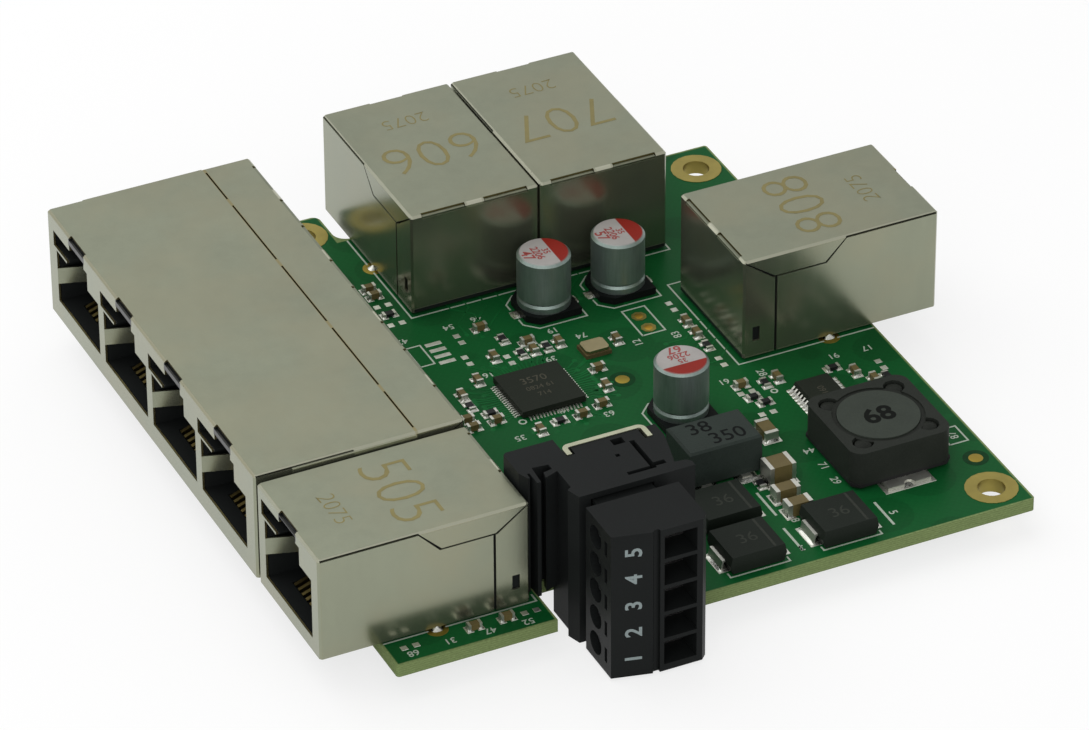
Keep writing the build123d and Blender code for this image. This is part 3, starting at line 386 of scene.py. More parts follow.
class Nodes:
    """A node tree with the shader at its end, and the one way to add a node to it."""

    def __init__(self, tree, shader):
        self.tree = tree
        self.shader = tree.nodes[shader]

    def fill(self, socket, value):
        """Give a socket a link, a colour or a plain value."""
        if isinstance(value, Value):
            self.tree.links.new(value.socket, socket)
        elif socket.type == "RGBA":
            socket.default_value = tuple(value)[:3] + (1.0,)
        else:
            socket.default_value = value

    def set(self, socket, value):
        """Fill one of the shader's sockets."""
        self.fill(self.shader.inputs[socket], value)

    def node(self, kind, settings=None, inputs=None, out=0):
        """Any node: its type, its settings, then the values or links of its sockets. It gives back
        the output that is asked for."""
        made = self.tree.nodes.new(kind)
        for key, value in (settings or {}).items():
            setattr(made, key, value)
        for key, value in (inputs or {}).items():
            self.fill(made.inputs[key], value)
        return Value(self, made.outputs[out])

    def seen(self):
        """1 where the camera looks straight at it."""
        return self.node("ShaderNodeLightPath", out="Is Camera Ray")

    def mirrored(self):
        """1 where it is met in a reflection or through something clear."""
        glossy = self.node("ShaderNodeLightPath", out="Is Glossy Ray")
        return glossy.high(self.node("ShaderNodeLightPath", out="Is Transmission Ray"))


class Finish(Nodes):
    """A material: its colour and gloss, and what varies over the surface."""

    # How far shade() goes below and above a colour.
    DARKER = 0.62
    LIGHTER = 1.38

    def __init__(self, name, color, roughness, metallic=0.0, specular=0.5):
        self.material = bpy.data.materials.new(name)
        self.material.use_nodes = True
        super().__init__(self.material.node_tree, "Principled BSDF")
        self.color = color
        self.set("Base Color", color)
        self.set("Roughness", roughness)
        self.set("Metallic", metallic)
        self.set("Specular IOR Level", specular)

    def place(self):
        """Object coordinates in millimetres."""
        found = self.node("ShaderNodeTexCoord", out="Object")
        return self.node("ShaderNodeVectorMath", {"operation": "SCALE"}, {0: found, "Scale": 1.0 / MM})

    def axes(self, vector):
        """The three numbers of a vector."""
        first = self.node("ShaderNodeSeparateXYZ", None, {0: vector})
        return [Value(self, output) for output in first.socket.node.outputs]

    def stretched(self, x, y, z):
        """The place with each axis scaled, for grain that runs one way."""
        return self.node("ShaderNodeVectorMath", {"operation": "MULTIPLY"}, {0: self.place(), 1: (x, y, z)})

    def facing(self):
        """The surface normal's three numbers."""
        return self.axes(self.node("ShaderNodeNewGeometry", out="Normal"))

    def noise(self, size, detail=3.0, roughness=0.55, vector=None):
        """Noise from 0 to 1 whose patches are about size millimetres across."""
        return self.node("ShaderNodeTexNoise", {"noise_dimensions": "3D"},
                         {"Vector": vector or self.place(), "Scale": 1.0 / size, "Detail": detail,
                          "Roughness": roughness})

    def cells(self, size):
        """Distance to the nearest point of scattered cells about size millimetres apart."""
        return self.node("ShaderNodeTexVoronoi", {"feature": "F1"},
                         {"Vector": self.place(), "Scale": 1.0 / size})

    def mix(self, factor, first, second):
        """A colour between two colours."""
        return self.node("ShaderNodeMix", {"data_type": "RGBA"}, {0: factor, 6: first, 7: second}, out=2)

    def shade(self, amount, color=None):
        """The colour made lighter or darker: amount 0.5 leaves it as it is."""
        base = tuple(color or self.color)[:3]
        return self.mix(amount, [self.DARKER * c for c in base], [min(1.0, self.LIGHTER * c) for c in base])

    def bump(self, height, distance):
        """Bump of the surface by a height from 0 to 1, times distance in millimetres."""
        self.set("Normal", self.node("ShaderNodeBump", None, {"Height": height, "Distance": distance * MM}))


def put(finish, *names):
    """Give a finish to solids of the frame."""
    for name in names:
        mesh = NODES[name].data
        mesh.materials.clear()
        mesh.materials.append(finish.material)


def look():
    """The user's sizes and colours."""
    return bpy.context.scene.switch_board


def tinted(color, factor):
    """A colour times a plain number."""
    return [factor * c for c in color]


def sheet_metal(jack):
    """Nickel plated sheet: soft reflections, faint rolling grain, and brass where the sheet was cut, with
    painted highlights on its bends and on the rear tabs' lips, and painted shade on the rear plate's foot and
    on the strip by the port. A cut face lies inside the outer skin and looks along it, so it is found from
    its depth behind the front plane or under the top plane and from its normal."""
    pale_nickel = (0.292, 0.284, 0.196)
    # Colour of the painted highlight on the bends and the rear tabs' lips.
    painted_bend_highlight = (0.46, 0.46, 0.36)
    tab_half = 0.9
    tab_lip = 0.5
    notch_half = 2.3
    notch_lip = (0.3, 1.2)
    lap_seam = 19.4
    foot_height = 0.75
    metal_share = 0.84
    name = jack + "_shield"
    f = Finish(name + "_nickel", look().nickel, 0.3, 1.0, 0.3)
    cloud = f.noise(9.0)
    grain = f.noise(0.35, vector=f.stretched(1.0, 1.0, 0.25))
    streaks = f.noise(1.4, vector=f.stretched(1.0, 1.0, 0.12))
    warm = f.noise(12.0).ramp(0.42, 0.62) * 0.5
    metal = f.mix(warm, f.shade(cloud * 0.24 + grain * 0.10 + streaks * 0.16 + 0.25), pale_nickel)
    low, high = [corner.tolist() for corner in node_box(name)]
    sign, along, side = JACK_FRONTS[jack]
    front, rear = (high, low) if sign > 0 else (low, high)
    normal = f.facing()
    upright = abs(normal[2])
    flat = upright.ramp(0.5, 0.9)
    lengthwise = abs(normal[along])
    place = f.axes(f.place())
    behind = abs(place[along] - front[along])
    ahead = abs(place[along] - rear[along])
    under = high[2] - place[2]

    def in_sheet(depth):
        """1 between the outer skin and the inner face of the sheet."""
        return depth.ramp(SHEET + 0.05, SHEET - 0.05) * depth.ramp(0.01, 0.03)

    cut = (in_sheet(behind) * lengthwise.ramp(0.3, 0.1)).high(in_sheet(under) * flat.ramp(0.3, 0.1))
    middle = (low[side] + high[side]) / 2
    spots = [abs(place[side] - (middle + float(port))) for port in port_offsets(jack)]
    tab = spots[0].ramp(tab_half + 0.2, tab_half)
    notch = spots[0].ramp(notch_half + 0.05, notch_half)
    for spot in spots[1:]:
        tab = tab.high(spot.ramp(tab_half + 0.2, tab_half))
        notch = notch.high(spot.ramp(notch_half + 0.05, notch_half))
    if len(spots) > 1:
        seam = abs(behind - lap_seam).ramp(0.2, 0.14) * flat
        rim = behind.ramp(0.3, 0.12) * under.ramp(0.3, 0.12)
        cut = cut.high(seam * 0.8).high(rim * 0.4)
    # Painted highlight: the rear tab's lip and the bent corners are painted brighter than the flat sheet, for
    # the glints on their rounded edges.
    lip = ahead.ramp(tab_lip, tab_lip - 0.1) * under.ramp(0.6, 0.5) * tab
    bend = upright.ramp(0.15, 0.4) * upright.ramp(0.97, 0.88) * under.ramp(0.6, 0.4)
    metal = f.mix(lip.high(bend * 0.6), metal, painted_bend_highlight)
    # Painted shade: the foot of the rear plate is painted dark for the shadowed gap under it, and the strip
    # between port and latch notch is painted as the dark plastic and shade seen through an opening.
    strip = (behind.ramp(0.5, 0.45) * under.ramp(notch_lip[0] - 0.02, notch_lip[0] + 0.02)
             * under.ramp(notch_lip[1] + 0.05, notch_lip[1]) * notch)
    foot = ahead.ramp(0.6, 0.5) * place[2].ramp(BOARD_TOP + foot_height + 0.15, BOARD_TOP + foot_height)
    dark = strip.high(foot * lengthwise.ramp(0.5, 0.8))
    f.set("Base Color", f.mix(dark, f.mix(cut, metal, look().brass), look().plastic))
    # The painted shade also takes away the metal's shine.
    f.set("Metallic", metal_share - dark * metal_share)
    f.set("Roughness", cloud * 0.06 + streaks * 0.08 + flat * 0.12 + (look().nickel_roughness - 0.02))
    f.bump(grain * 0.25 + cloud * 1.2, 0.008)
    return f


def moulded(name, color, roughness, grain=0.35, depth=0.02):
    """Moulded plastic: fine spark-eroded grain and slow gloss changes."""
    f = Finish(name, color, roughness, specular=0.06)
    fine = f.noise(grain * 0.5, 2.0)
    slow = f.noise(6.0)
    f.set("Base Color", f.shade(fine * 0.35 + slow * 0.35 + 0.15))
    f.set("Roughness", slow * 0.14 + fine * 0.1 + (roughness - 0.12))
    f.bump(fine, depth)
    return f


def plated(name, color, roughness):
    """Plated metal: cloudy tone, fine pits."""
    f = Finish(name, color, roughness, 1.0)
    cloud = f.noise(1.6, 4.0)
    pits = f.noise(0.12, 2.0)
    f.set("Base Color", f.shade(cloud * 0.5 + 0.25))
    f.set("Roughness", cloud * 0.15 + pits * 0.1 + (roughness - 0.1))
    f.bump(pits * 0.4 + cloud, 0.012)
    return f


def solder_metal():
    """Solder: bright with a frosty grain."""
    f = Finish("solder", (0.52, 0.525, 0.48), 0.28, 1.0)
    frost = f.noise(0.22, 4.0)
    f.set("Base Color", f.shade(frost * 0.5 + f.noise(1.2, 2.0) * 0.5))
    f.set("Roughness", frost * 0.22 + 0.16)
    f.bump(frost, 0.02)
    return f


def ferrite(name, color, roughness):
    """Pressed and fired ceramic: grainy, with small pits and paler worn spots."""
    f = Finish(name, color, roughness, specular=0.06)
    grains = f.noise(0.2, 4.0, 0.7)
    pits = f.cells(0.8).ramp(0.12, 0.0)
    cloud = f.noise(3.0)
    f.set("Base Color", f.shade((grains * 0.7 + cloud * 0.5 - pits * 0.3).clamp()))
    f.set("Roughness", cloud * 0.2 + grains * 0.15 + (roughness - 0.17))
    f.bump(grains * 0.7 - pits, 0.05)
    return f


def glazed(name, color):
    """Small fired bodies: fine speckle under a thin shine."""
    f = Finish(name, color, 0.4, specular=0.2)
    speckle = f.noise(0.15)
    f.set("Base Color", f.shade(speckle * 0.5 + f.noise(1.5, 2.0) * 0.5))
    f.set("Roughness", speckle * 0.2 + 0.28)
    f.bump(speckle, 0.015)
    return f


def stamped(name, color, roughness, grain, specular=0.5):
    """A thin flat coat with a slight grain: stamped numbers, bars and clear rings."""
    f = Finish(name, color, roughness, specular=specular)
    f.set("Base Color", f.shade(f.noise(grain)))
    return f


def screened(name, color, roughness, grain, contrast):
    """Screen print: slightly uneven, with pinholes."""
    f = Finish(name, color, roughness)
    speckle = f.noise(grain)
    f.set("Base Color", f.shade(speckle * contrast + (1.0 - contrast) / 2))
    f.bump(speckle, 0.01)
    return f


def outline_distance(x, y):
    """Signed distance in plan from the board's outline, negative inside, from boxes joined by least
    and greatest values."""
    low, high = node_box("circuit_board")
    p = look()
    beyond = 9.0

    def box(x0, x1, y0, y1):
        across = abs(x - (x0 + x1) / 2) - (x1 - x0) / 2
        along = abs(y - (y0 + y1) / 2) - (y1 - y0) / 2
        return across.high(along)

    main = box(low[0], high[0], low[1], high[1] - p.tab_reach / MM)
    tab = box(low[0], low[0] + p.tab_width / MM, low[1], high[1])
    step = box(low[0] - beyond, p.notch_right / MM, low[1] - beyond, low[1] + p.front_step / MM)
    notch = box(p.notch_left / MM, p.notch_right / MM, low[1] - beyond, p.notch_back / MM)
    return main.low(tab).high(-step).high(-notch)


def board_surface():
    """Green solder mask with copper areas showing through it, a bare edge strip, and cut glass fibre
    on the sides."""
    p = look()
    weave_turns = 6.5
    layer_turns = 22.0
    f = Finish("green_solder_mask", p.mask, 0.3, specular=0.07)
    x, y, z = f.axes(f.place())
    masked = abs(f.facing()[2]).ramp(0.4, 0.7) * (-outline_distance(x, y)).ramp(0.16, 0.3)
    planes = f.cells(8.0).ramp(0.44, 0.46)
    weave = (x * weave_turns).sine() * (y * weave_turns).sine() * 0.5 + 0.5
    cloud = f.noise(14.0)
    flecks = f.noise(0.5, 2.0)
    tone = cloud * 0.3 + weave * 0.10 + flecks * 0.14 + planes * 0.22 + 0.12
    layers = (z * layer_turns + f.noise(1.2) * 5.0).sine() * 0.5 + 0.5
    fibres = f.noise(0.16, vector=f.stretched(0.5, 0.5, 2.0))
    glass = f.shade((layers * 0.3 + fibres * 1.5 - 0.35).clamp(), p.glass_fibre)
    f.set("Base Color", f.mix(masked, glass, f.shade(tone.clamp())))
    f.set("Roughness", masked * -0.42 + 0.72 + cloud * 0.08)
    f.bump(masked * (weave * 0.10 + flecks * 0.16) + (1 - masked) * fibres * 0.8, 0.03)
    return f


# Plan places read from the board. Each pair of bare pads is (x, y, turned).
BARE_PAIRS = [
    (-40.7, 52.65, 1), (-37.3, 46.35, 1), (-41.7, 48.3, 1), (-15.8, 48.05, 1), (-15.7, 35.45, 1),
    (-15.95, 28.6, 0), (-15.65, 23.9, 0), (0.4, 26.95, 1), (-45.75, 62.8, 0), (-45.85, 58.7, 0),
    (-70.4, 1.3, 0), (-56.0, 1.4, 0),
]
LONG_PADS = [(-43.8, 53.1), (-43.8, 51.8), (-43.8, 50.5), (-43.8, 49.2)]
AIMING_MARKS = [(-27.45, 37.15), (1.2, 5.85)]
# How far the pad of each soldered end reaches out beyond its metal.
PAD_SPREADS = {"inductor_terminals": 0.45, "diode_terminals": 0.4, "choke_feet": 0.4,
               "large_capacitor_ends": 0.35, "small_capacitor_ends": 0.25, "resistor_ends": 0.25,
               "can_capacitor_leads": 0.4}
# Forms of solder: how square a mound is, how steep, and its rings and corners.
CHIP_END = {"squareness": 5.0, "steepness": 1.5, "rings": 4, "around": 16}
LEAD_FOOT = {"squareness": 5.0, "steepness": 0.9, "rings": 3, "around": 14}
TERMINAL = {"squareness": 6.0, "steepness": 1.1, "rings": 5, "around": 24}
PIN_CONE = {"squareness": ROUND, "steepness": 1.7, "rings": 5, "around": 18}
TAB_BLOB = {"squareness": 2.4, "steepness": 1.1, "rings": 4, "around": 20}
TAB_CONE = {"squareness": ROUND, "steepness": 1.6, "rings": 5, "around": 20}
COLOUR = {"subtype": "COLOR", "size": 3, "min": 0, "max": 1}


class SwitchBoardLook(bpy.types.PropertyGroup):
    """Sizes and colours of the dressed board."""

    mask: FloatVectorProperty(name="Solder mask", description="Green of the board",
                              default=(0.005, 0.084, 0.020), **COLOUR)
    glass_fibre: FloatVectorProperty(name="Glass fibre", description="Cut edge of the board",
                                     default=(0.19, 0.25, 0.10), **COLOUR)
    ink: FloatVectorProperty(name="Print", description="Screen print on the board",
                             default=(0.42, 0.48, 0.40), **COLOUR)
    nickel: FloatVectorProperty(name="Nickel", description="Plating of the jack shields",
                                default=(0.259, 0.276, 0.202), **COLOUR)
    nickel_roughness: FloatProperty(name="Nickel roughness", description="Least roughness of the shields",
                                    min=0, max=1, default=0.18)
    brass: FloatVectorProperty(name="Brass", description="Cut edges of the shields",
                               default=(0.26, 0.22, 0.10), **COLOUR)
    gold: FloatVectorProperty(name="Gold", description="Plating of the rings and hole walls",
                              default=(0.31, 0.255, 0.070), **COLOUR)
    plastic: FloatVectorProperty(name="Black plastic", description="Connector housings",
                                 default=(0.0125, 0.0140, 0.0138), **COLOUR)
    line_width: FloatProperty(name="Print width", description="Width of a printed line", unit="LENGTH",
                              default=0.20 * MM, min=0.05 * MM, max=1 * MM)
    tab_reach: FloatProperty(name="Tab reach", description="How far the back left tab stands out",
                             unit="LENGTH", default=6.1 * MM)
    tab_width: FloatProperty(name="Tab width", description="Width of the back left tab", unit="LENGTH",
                             default=28.3 * MM)
    front_step: FloatProperty(name="Front step", description="Set-back of the front left edge",
                              unit="LENGTH", default=2.65 * MM)
    notch_left: FloatProperty(name="Notch left", description="Left side of the front notch", unit="LENGTH",
                              default=-54.0 * MM)
    notch_right: FloatProperty(name="Notch right", description="Right side of the front notch",
                               unit="LENGTH", default=-38.2 * MM)
    notch_back: FloatProperty(name="Notch back", description="Back of the front notch", unit="LENGTH",
                              default=5.9 * MM)
    background: FloatProperty(name="Background", description="Brightness of the surroundings to the camera",
                              default=1.0, min=0, max=1)
    key_power: FloatProperty(name="Key lamp", description="Power of the large lamp overhead", default=2.95,
                             min=0, unit="POWER")
    fill_power: FloatProperty(name="Fill lamp", description="Power of the front lamp", default=2.9, min=0,
                              unit="POWER")


class SWITCH_OT_board(bpy.types.Operator):
    """Finish the circuit board, its rings, its tracks and its bare pads"""

    bl_idname = "switch.board"
    bl_label = "Circuit board"

    def execute(self, context):
        gold = plated("gold_plating", look().gold, 0.38)
        put(board_surface(), "circuit_board")
        put(gold, "plated_rings")
        self.tracks()
        self.pads()
        self.round_pads()
        self.holes(gold)
        return {"FINISHED"}

    def tracks(self):
        """Copper tracks under the mask: fan-out of the controller and pairs to the jacks."""
        track_width = 0.2
        track_height = 0.025
        via_radius = 0.32
        via_height = 0.035
        raised = Finish("masked_copper", tinted(look().mask, 1.35), 0.3, specular=0.07)
        cloud = raised.noise(3.0)
        raised.set("Base Color", raised.shade(cloud))
        raised.set("Roughness", cloud * 0.1 + 0.25)
        paths = fan_out() + jack_pairs()
        strips = [ribbon(path, track_width, track_height, BOARD_TOP) for path in paths]
        piece("masked_tracks", joined(strips), raised, smooth=False)
        ends = [path[-1] for path in paths]
        vias = mounds(ends, via_radius, via_height, BOARD_TOP, ROUND, 0.5, 3, 14)
        piece("masked_vias", vias, raised)

    def pads(self):
        """Bare plated pads: empty pairs, four long ones, and one under each soldered end."""
        pair_reach = 0.72
        pair_half = 0.38
        long_half = np.array([1.0, 0.32])
        lead_reach = 0.26
        lows = []
        highs = []

        def add(low, high):
            lows.append((low[0], low[1], BOARD_TOP))
            highs.append((high[0], high[1], BOARD_TOP + PAD_HEIGHT))

        for x, y, turned in BARE_PAIRS:
            for reach in (-pair_reach, pair_reach):
                middle = np.array([x, y + reach] if turned else [x + reach, y])
                add(middle - pair_half, middle + pair_half)
        for spot in LONG_PADS:
            add(spot - long_half, spot + long_half)
        for name, spread in PAD_SPREADS.items():
            for low, high in zip(*islands(name)):
                add(low[:2] - spread, high[:2] + spread)
        low, high = node_box("controller_chip")
        for first, last in zip(*islands("controller_leads")):
            away = (first + last - low - high)[:2]
            out = np.where(abs(away) == abs(away).max(), np.sign(away) * lead_reach, 0.0)
            add(np.minimum(first[:2], first[:2] + out), np.maximum(last[:2], last[:2] + out))
        tin = plated("tin_plating", (0.60, 0.61, 0.55), 0.42)
        piece("bare_pads", blocks(lows, highs, 0.03), tin)

    def round_pads(self):
        """Round gold aiming marks in clear rings of the mask, and round pads at the earth tabs."""
        mark_radius = 0.85
        clear_radius = 1.5
        tab_radius = 1.3
        dark = stamped("mask_clearance", tinted(look().mask, 0.5), 0.4, 0.8, 0.07)
        rings = [flat_ring(spot, mark_radius - 0.01, clear_radius, BOARD_TOP, BOARD_TOP + 0.012)
                 for spot in AIMING_MARKS]
        piece("aiming_clearances", joined(rings), dark, smooth=False)
        marks = mounds(AIMING_MARKS, mark_radius, 0.04, BOARD_TOP, ROUND, 0.2, 3, 36)
        gold = plated("bare_gold", (0.30, 0.225, 0.040), 0.42)
        piece("aiming_marks", marks, gold)
        both = [mounds(earth_tabs(), tab_radius, height, floor, ROUND, 0.2, 3, 32)
                for height, floor in ((PAD_HEIGHT, BOARD_TOP), (-PAD_HEIGHT, 0.0))]
        piece("earth_pads", joined(both), gold)

    def holes(self, gold):
        """The rings under the board, the walls of the holes, and a dome in each small test hole."""
        below = -0.04
        rings = []
        domes = []
        for low, high in zip(*islands("plated_rings")):
            centre = (low + high)[:2] / 2
            outer = (high - low)[0] / 2
            mounting = outer > 2
            hole = outer * (0.54 if mounting else 0.6)
            wall = hole * (0.96 if mounting else 0.3)
            rings.append(flat_ring(centre, hole, outer, below, 0.0))
            rings.append(flat_ring(centre, wall, hole, below, BOARD_TOP + 0.02))
            if not mounting:
                domes.append(centre)
        piece("hole_plating", joined(rings), gold)
        orange = plated("test_point_gold", (0.46, 0.27, 0.04), 0.4)
        piece("test_points", mounds(domes, 0.58, 0.06, BOARD_TOP, ROUND, 0.4, 3, 24), orange)


def fan_out():
    """Tracks from each lead of the controller: straight out, then leaning out to a via."""
    low, high = node_box("controller_chip")
    middle = (low + high)[:2] / 2
    paths = []
    for index, tip in enumerate(footprints("controller_leads")[0]):
        away = tip - middle
        side = int(abs(away[1]) > abs(away[0]))
        out = np.zeros(2)
        out[side] = np.sign(away[side])
        lean = np.zeros(2)
        lean[1 - side] = away[1 - side] / 4.0
        start = tip + out * 0.4
        bend = start + out * (0.7 + 0.45 * (index % 3))
        paths.append(np.array([start, bend, bend + (out + lean) * (0.8 + 0.5 * ((index * 7) % 4))]))
    return paths


def jack_pairs():
    """A track from every second pin of each jack towards the controller, with 45 degree bends."""
    low, high = node_box("controller_chip")
    goal = (low + high)[:2] / 2
    paths = []
    for name in JACKS:
        pins = footprints(name + "_pin_tails")[0]
        gap = goal - pins.mean(0)
        side = int(abs(gap[1]) > abs(gap[0]))
        for index, pin in enumerate(pins[::2]):
            run = np.zeros(2)
            run[side] = np.sign(goal[side] - pin[side])
            turn = np.zeros(2)
            turn[1 - side] = np.sign(goal[1 - side] - pin[1 - side])
            first = pin + run * (5.0 + 0.5 * (index % 4))
            second = first + (run + turn) * (2.0 + 0.6 * (index % 4))
            paths.append(np.array([pin, first, second, second + run * 2.5]))
    return paths


def can_outline(place, turn):
    """Two printed brackets round a can's base, open at its leads, with two corners cut off."""
    half = 3.75
    cut = half - 1.45
    lead = 1.1
    lower = np.array([[half, -lead], [half, -half], [-cut, -half], [-half, -cut], [-half, -lead]])
    upper = lower * [1, -1]
    c, s = math.cos(turn), math.sin(turn)
    spin = np.array([[c, s], [-s, c]])
    return [lower @ spin + place, upper @ spin + place]


class SWITCH_OT_print(bpy.types.Operator):
    """Print outlines and plain numbers on the board"""

    bl_idname = "switch.print"
    bl_label = "Board print"

    def execute(self, context):
        paint = screened("white_ink", look().ink, 0.6, 0.12, 0.8)
        width = look().line_width / MM
        lines = [ribbon(path, width, PRINT_LIFT, BOARD_TOP) for path in self.outlines()]
        lines += [ribbon(circle(spot, radius), width, PRINT_LIFT, BOARD_TOP, closed=True)
                  for spot, radius in (((-41.3, 34.4), 0.4), ((-13.0, 27.5), 0.35))]
        lines += [ribbon(path, width * 1.5, PRINT_LIFT, BOARD_TOP) for path in self.bars()]
        piece("printed_outlines", joined(lines), paint, smooth=False)
        # The upward direction of a number after 0 to 3 quarter turns.
        ups = [(0, 1, 0), (-1, 0, 0), (0, -1, 0), (1, 0, 0)]
        numbers = [lettering(text, 1.0, (x, y, BOARD_TOP + PRINT_LIFT), ups[turns], 0.012)
                   for text, x, y, turns in self.numbers()]
        piece("printed_numbers", joined(numbers), paint, smooth=False)
        return {"FINISHED"}

    def outlines(self):
        """Outlines round the parts."""
        paths = [
            [(-72.9, 2.9), (-54.6, 2.9), (-54.6, 4.2)],
            [(3.2, 34.0), (-14.2, 34.0), (-14.2, 52.3), (3.2, 52.3)],
            [(-43.8, 77.2), (-43.8, 59.0), (-10.6, 59.0), (-10.6, 77.2)],
            [(-33.7, -1.7), (-33.7, -2.55), (-26.4, -2.55), (-26.4, -1.7)],
            [(-22.2, -1.7), (-22.2, -2.45), (-15.0, -2.45), (-15.0, -1.7)],
            [(-47.1, 49.4), (-45.3, 49.4), (-45.3, 53.5), (-47.1, 53.5), (-47.1, 49.3)],
            [(-21.45, 44.1), (-18.55, 44.1), (-18.55, 49.6), (-21.45, 49.6), (-21.45, 44.0)],
            [(-0.2, 9.3), (2.1, 9.3), (2.1, 12.4), (-0.2, 12.4), (-0.2, 9.2)],
        ]
        for index, turn in ((1, 0.0), (2, 0.0), (3, -math.pi / 2)):
            low, high = node_box("can_capacitor_%d_base" % index)
            paths += can_outline((low + high)[:2] / 2, turn)
        return paths

    def bars(self):
        """Thick bars that mark one end of two diodes and of the choke."""
        return [[(-13.0, -1.5), (-13.0, 3.2)], [(-24.3, -1.5), (-24.3, 3.2)], [(-23.9, 5.7), (-23.9, 10.5)]]

    def numbers(self):
        """Plain numbers as (text, x, y, quarter turns)."""
        return [
            ("31", -66.0, 0.3, 2), ("47", -61.4, 0.1, 2), ("52", -57.0, -0.2, 2), ("68", -70.6, 0.0, 2),
            ("3", -24.2, -1.0, 2), ("5", -12.0, 0.6, 3), ("8", -22.4, 4.0, 3), ("26", -14.8, 5.6, 3),
            ("29", -14.9, 8.8, 3), ("71", -14.8, 12.0, 3), ("44", -14.9, 15.2, 2), ("63", -31.8, 31.6, 2),
            ("18", -36.2, 34.4, 2), ("35", -42.9, 31.6, 2), ("22", -49.0, 41.2, 1), ("57", -47.6, 45.0, 1),
            ("16", -40.9, 44.6, 2), ("39", -33.0, 44.4, 2), ("74", -27.8, 47.2, 2), ("12", -22.6, 43.2, 1),
            ("83", -17.9, 42.6, 1), ("58", -17.9, 39.0, 1), ("61", -17.2, 31.6, 2), ("28", -12.6, 31.4, 3),
            ("91", -3.6, 30.8, 2), ("17", 0.4, 30.6, 2), ("33", -48.2, 62.8, 1), ("77", -48.2, 58.7, 1),
            ("46", -37.2, 55.6, 2), ("54", -40.8, 55.4, 2), ("4", -19.8, 20.2, 2), ("87", 1.0, 10.85, 1),
            ("19", -30.4, 49.6, 2), ("36", -48.9, 36.6, 2), ("42", -46.8, 55.0, 2),
        ]


class SWITCH_OT_solder(bpy.types.Operator):
    """Solder the chip ends, the leads and terminals of the regulator, cans, diodes, inductor and choke, the
    earth tabs and the jacks' pins
    """

    bl_idname = "switch.solder"
    bl_label = "Solder"

    def execute(self, context):
        pin_radius = 0.62
        tab_radius = 0.95
        drop = -1.0
        metal = solder_metal()
        tabs = earth_tabs()
        parts = [self.fillets(name, 0.2, None, CHIP_END)
                 for name in ("small_capacitor_ends", "large_capacitor_ends", "resistor_ends")]
        parts += [mounds(tabs, (0.75, 0.6), 0.55, BOARD_TOP, **TAB_BLOB),
                  self.fillets("regulator_leads", 0.2, 0.2, LEAD_FOOT),
                  self.fillets("can_capacitor_leads", 0.5, 0.35, LEAD_FOOT),
                  self.fillets("diode_terminals", 0.35, 0.9, TERMINAL),
                  self.fillets("inductor_terminals", 0.35, 0.5, TERMINAL),
                  self.fillets("choke_feet", 0.75, 0.5, LEAD_FOOT)]
        piece("surface_solder", joined(parts), metal)
        cones = [mounds(footprints(name + "_pin_tails")[0], pin_radius, drop, 0.0, **PIN_CONE)
                 for name in JACKS]
        cones.append(mounds(tabs, tab_radius, drop, 0.0, **TAB_CONE))
        piece("underside_solder", joined(cones), metal)
        put(plated("tinned_leads", (0.55, 0.55, 0.50), 0.42),
            "controller_leads", "regulator_leads", "can_capacitor_leads", "small_capacitor_ends",
            "large_capacitor_ends", "resistor_ends", "diode_terminals", "inductor_terminals", "choke_feet")
        put(plated("tinned_wire", (0.36, 0.36, 0.33), 0.3), *[name + "_pin_tails" for name in JACKS])
        return {"FINISHED"}

    def fillets(self, name, spread, height, form):
        """A mound of solder round each solid of a node: its foot spreads beyond the metal, and
        without a height of its own it climbs almost to the top of that solid."""
        middles, halves, heights = footprints(name)
        if height is None:
            height = heights * 0.95
        return mounds(middles, halves + spread, height, BOARD_TOP, **form)


class SWITCH_OT_jacks(bpy.types.Operator):
    """Finish the network jacks and etch plain numbers on the single shields"""

    bl_idname = "switch.jacks"
    bl_label = "Network jacks"

    def execute(self, context):
        for name in JACKS:
            put(sheet_metal(name), name + "_shield")
        put(moulded("jack_plastic", look().plastic, 0.5), *[name + "_housing" for name in JACKS])
        # Painted shade: the contacts' gold is painted about half as bright as the other gold, for the shade
        # inside the ports.
        put(plated("contact_gold", (0.15, 0.115, 0.045), 0.34), *[name + "_contacts" for name in JACKS])
        parts = []
        for name in SINGLE_JACKS:
            sign, along, _ = JACK_FRONTS[name]
            roof = node_box(name + "_shield")[1][2] + MARK_LIFT
            up = np.zeros(3)
            up[along] = -sign
            for text, height, inset in ((name[-1] + "0" + name[-1], 5.6, 13.4), ("2075", 2.0, 5.6)):
                spot = np.append(jack_point(name, inset, 0.0), roof)
                parts.append(lettering(text, height, spot, up, -0.018))
        etched = plated("etched_gold", (0.235, 0.205, 0.09), 0.5)
        piece("etched_numbers", joined(parts), etched, smooth=False)
        self.slot_edges()
        return {"FINISHED"}

    def slot_edges(self):
        """The rear plates' upper edges, seen through the slots behind each top plate."""
        slot_shift = 3.95
        slot_half = 2.7
        slot_inset = (0.04, 0.46)
        edge_depth = (0.2, 0.7)
        lows = []
        highs = []
        for name in JACKS:
            low, high = node_box(name + "_shield")
            length = (high - low)[JACK_FRONTS[name][1]]
            for port in port_offsets(name):
                for middle in (port - slot_shift, port + slot_shift):
                    ends = np.array([jack_point(name, length - slot_inset[1], middle - slot_half),
                                     jack_point(name, length - slot_inset[0], middle + slot_half)])
                    lows.append(np.append(ends.min(0), high[2] - edge_depth[1]))
                    highs.append(np.append(ends.max(0), high[2] - edge_depth[0]))
        # Painted shade: the edges are a darker copy of the shield's nickel, for the shade down in the slots.
        edge = plated("slot_edge_nickel_painted_shade", tinted(look().nickel, 0.8), 0.35)
        piece("rear_plate_edges", blocks(lows, highs, 0.06), edge, smooth=False)


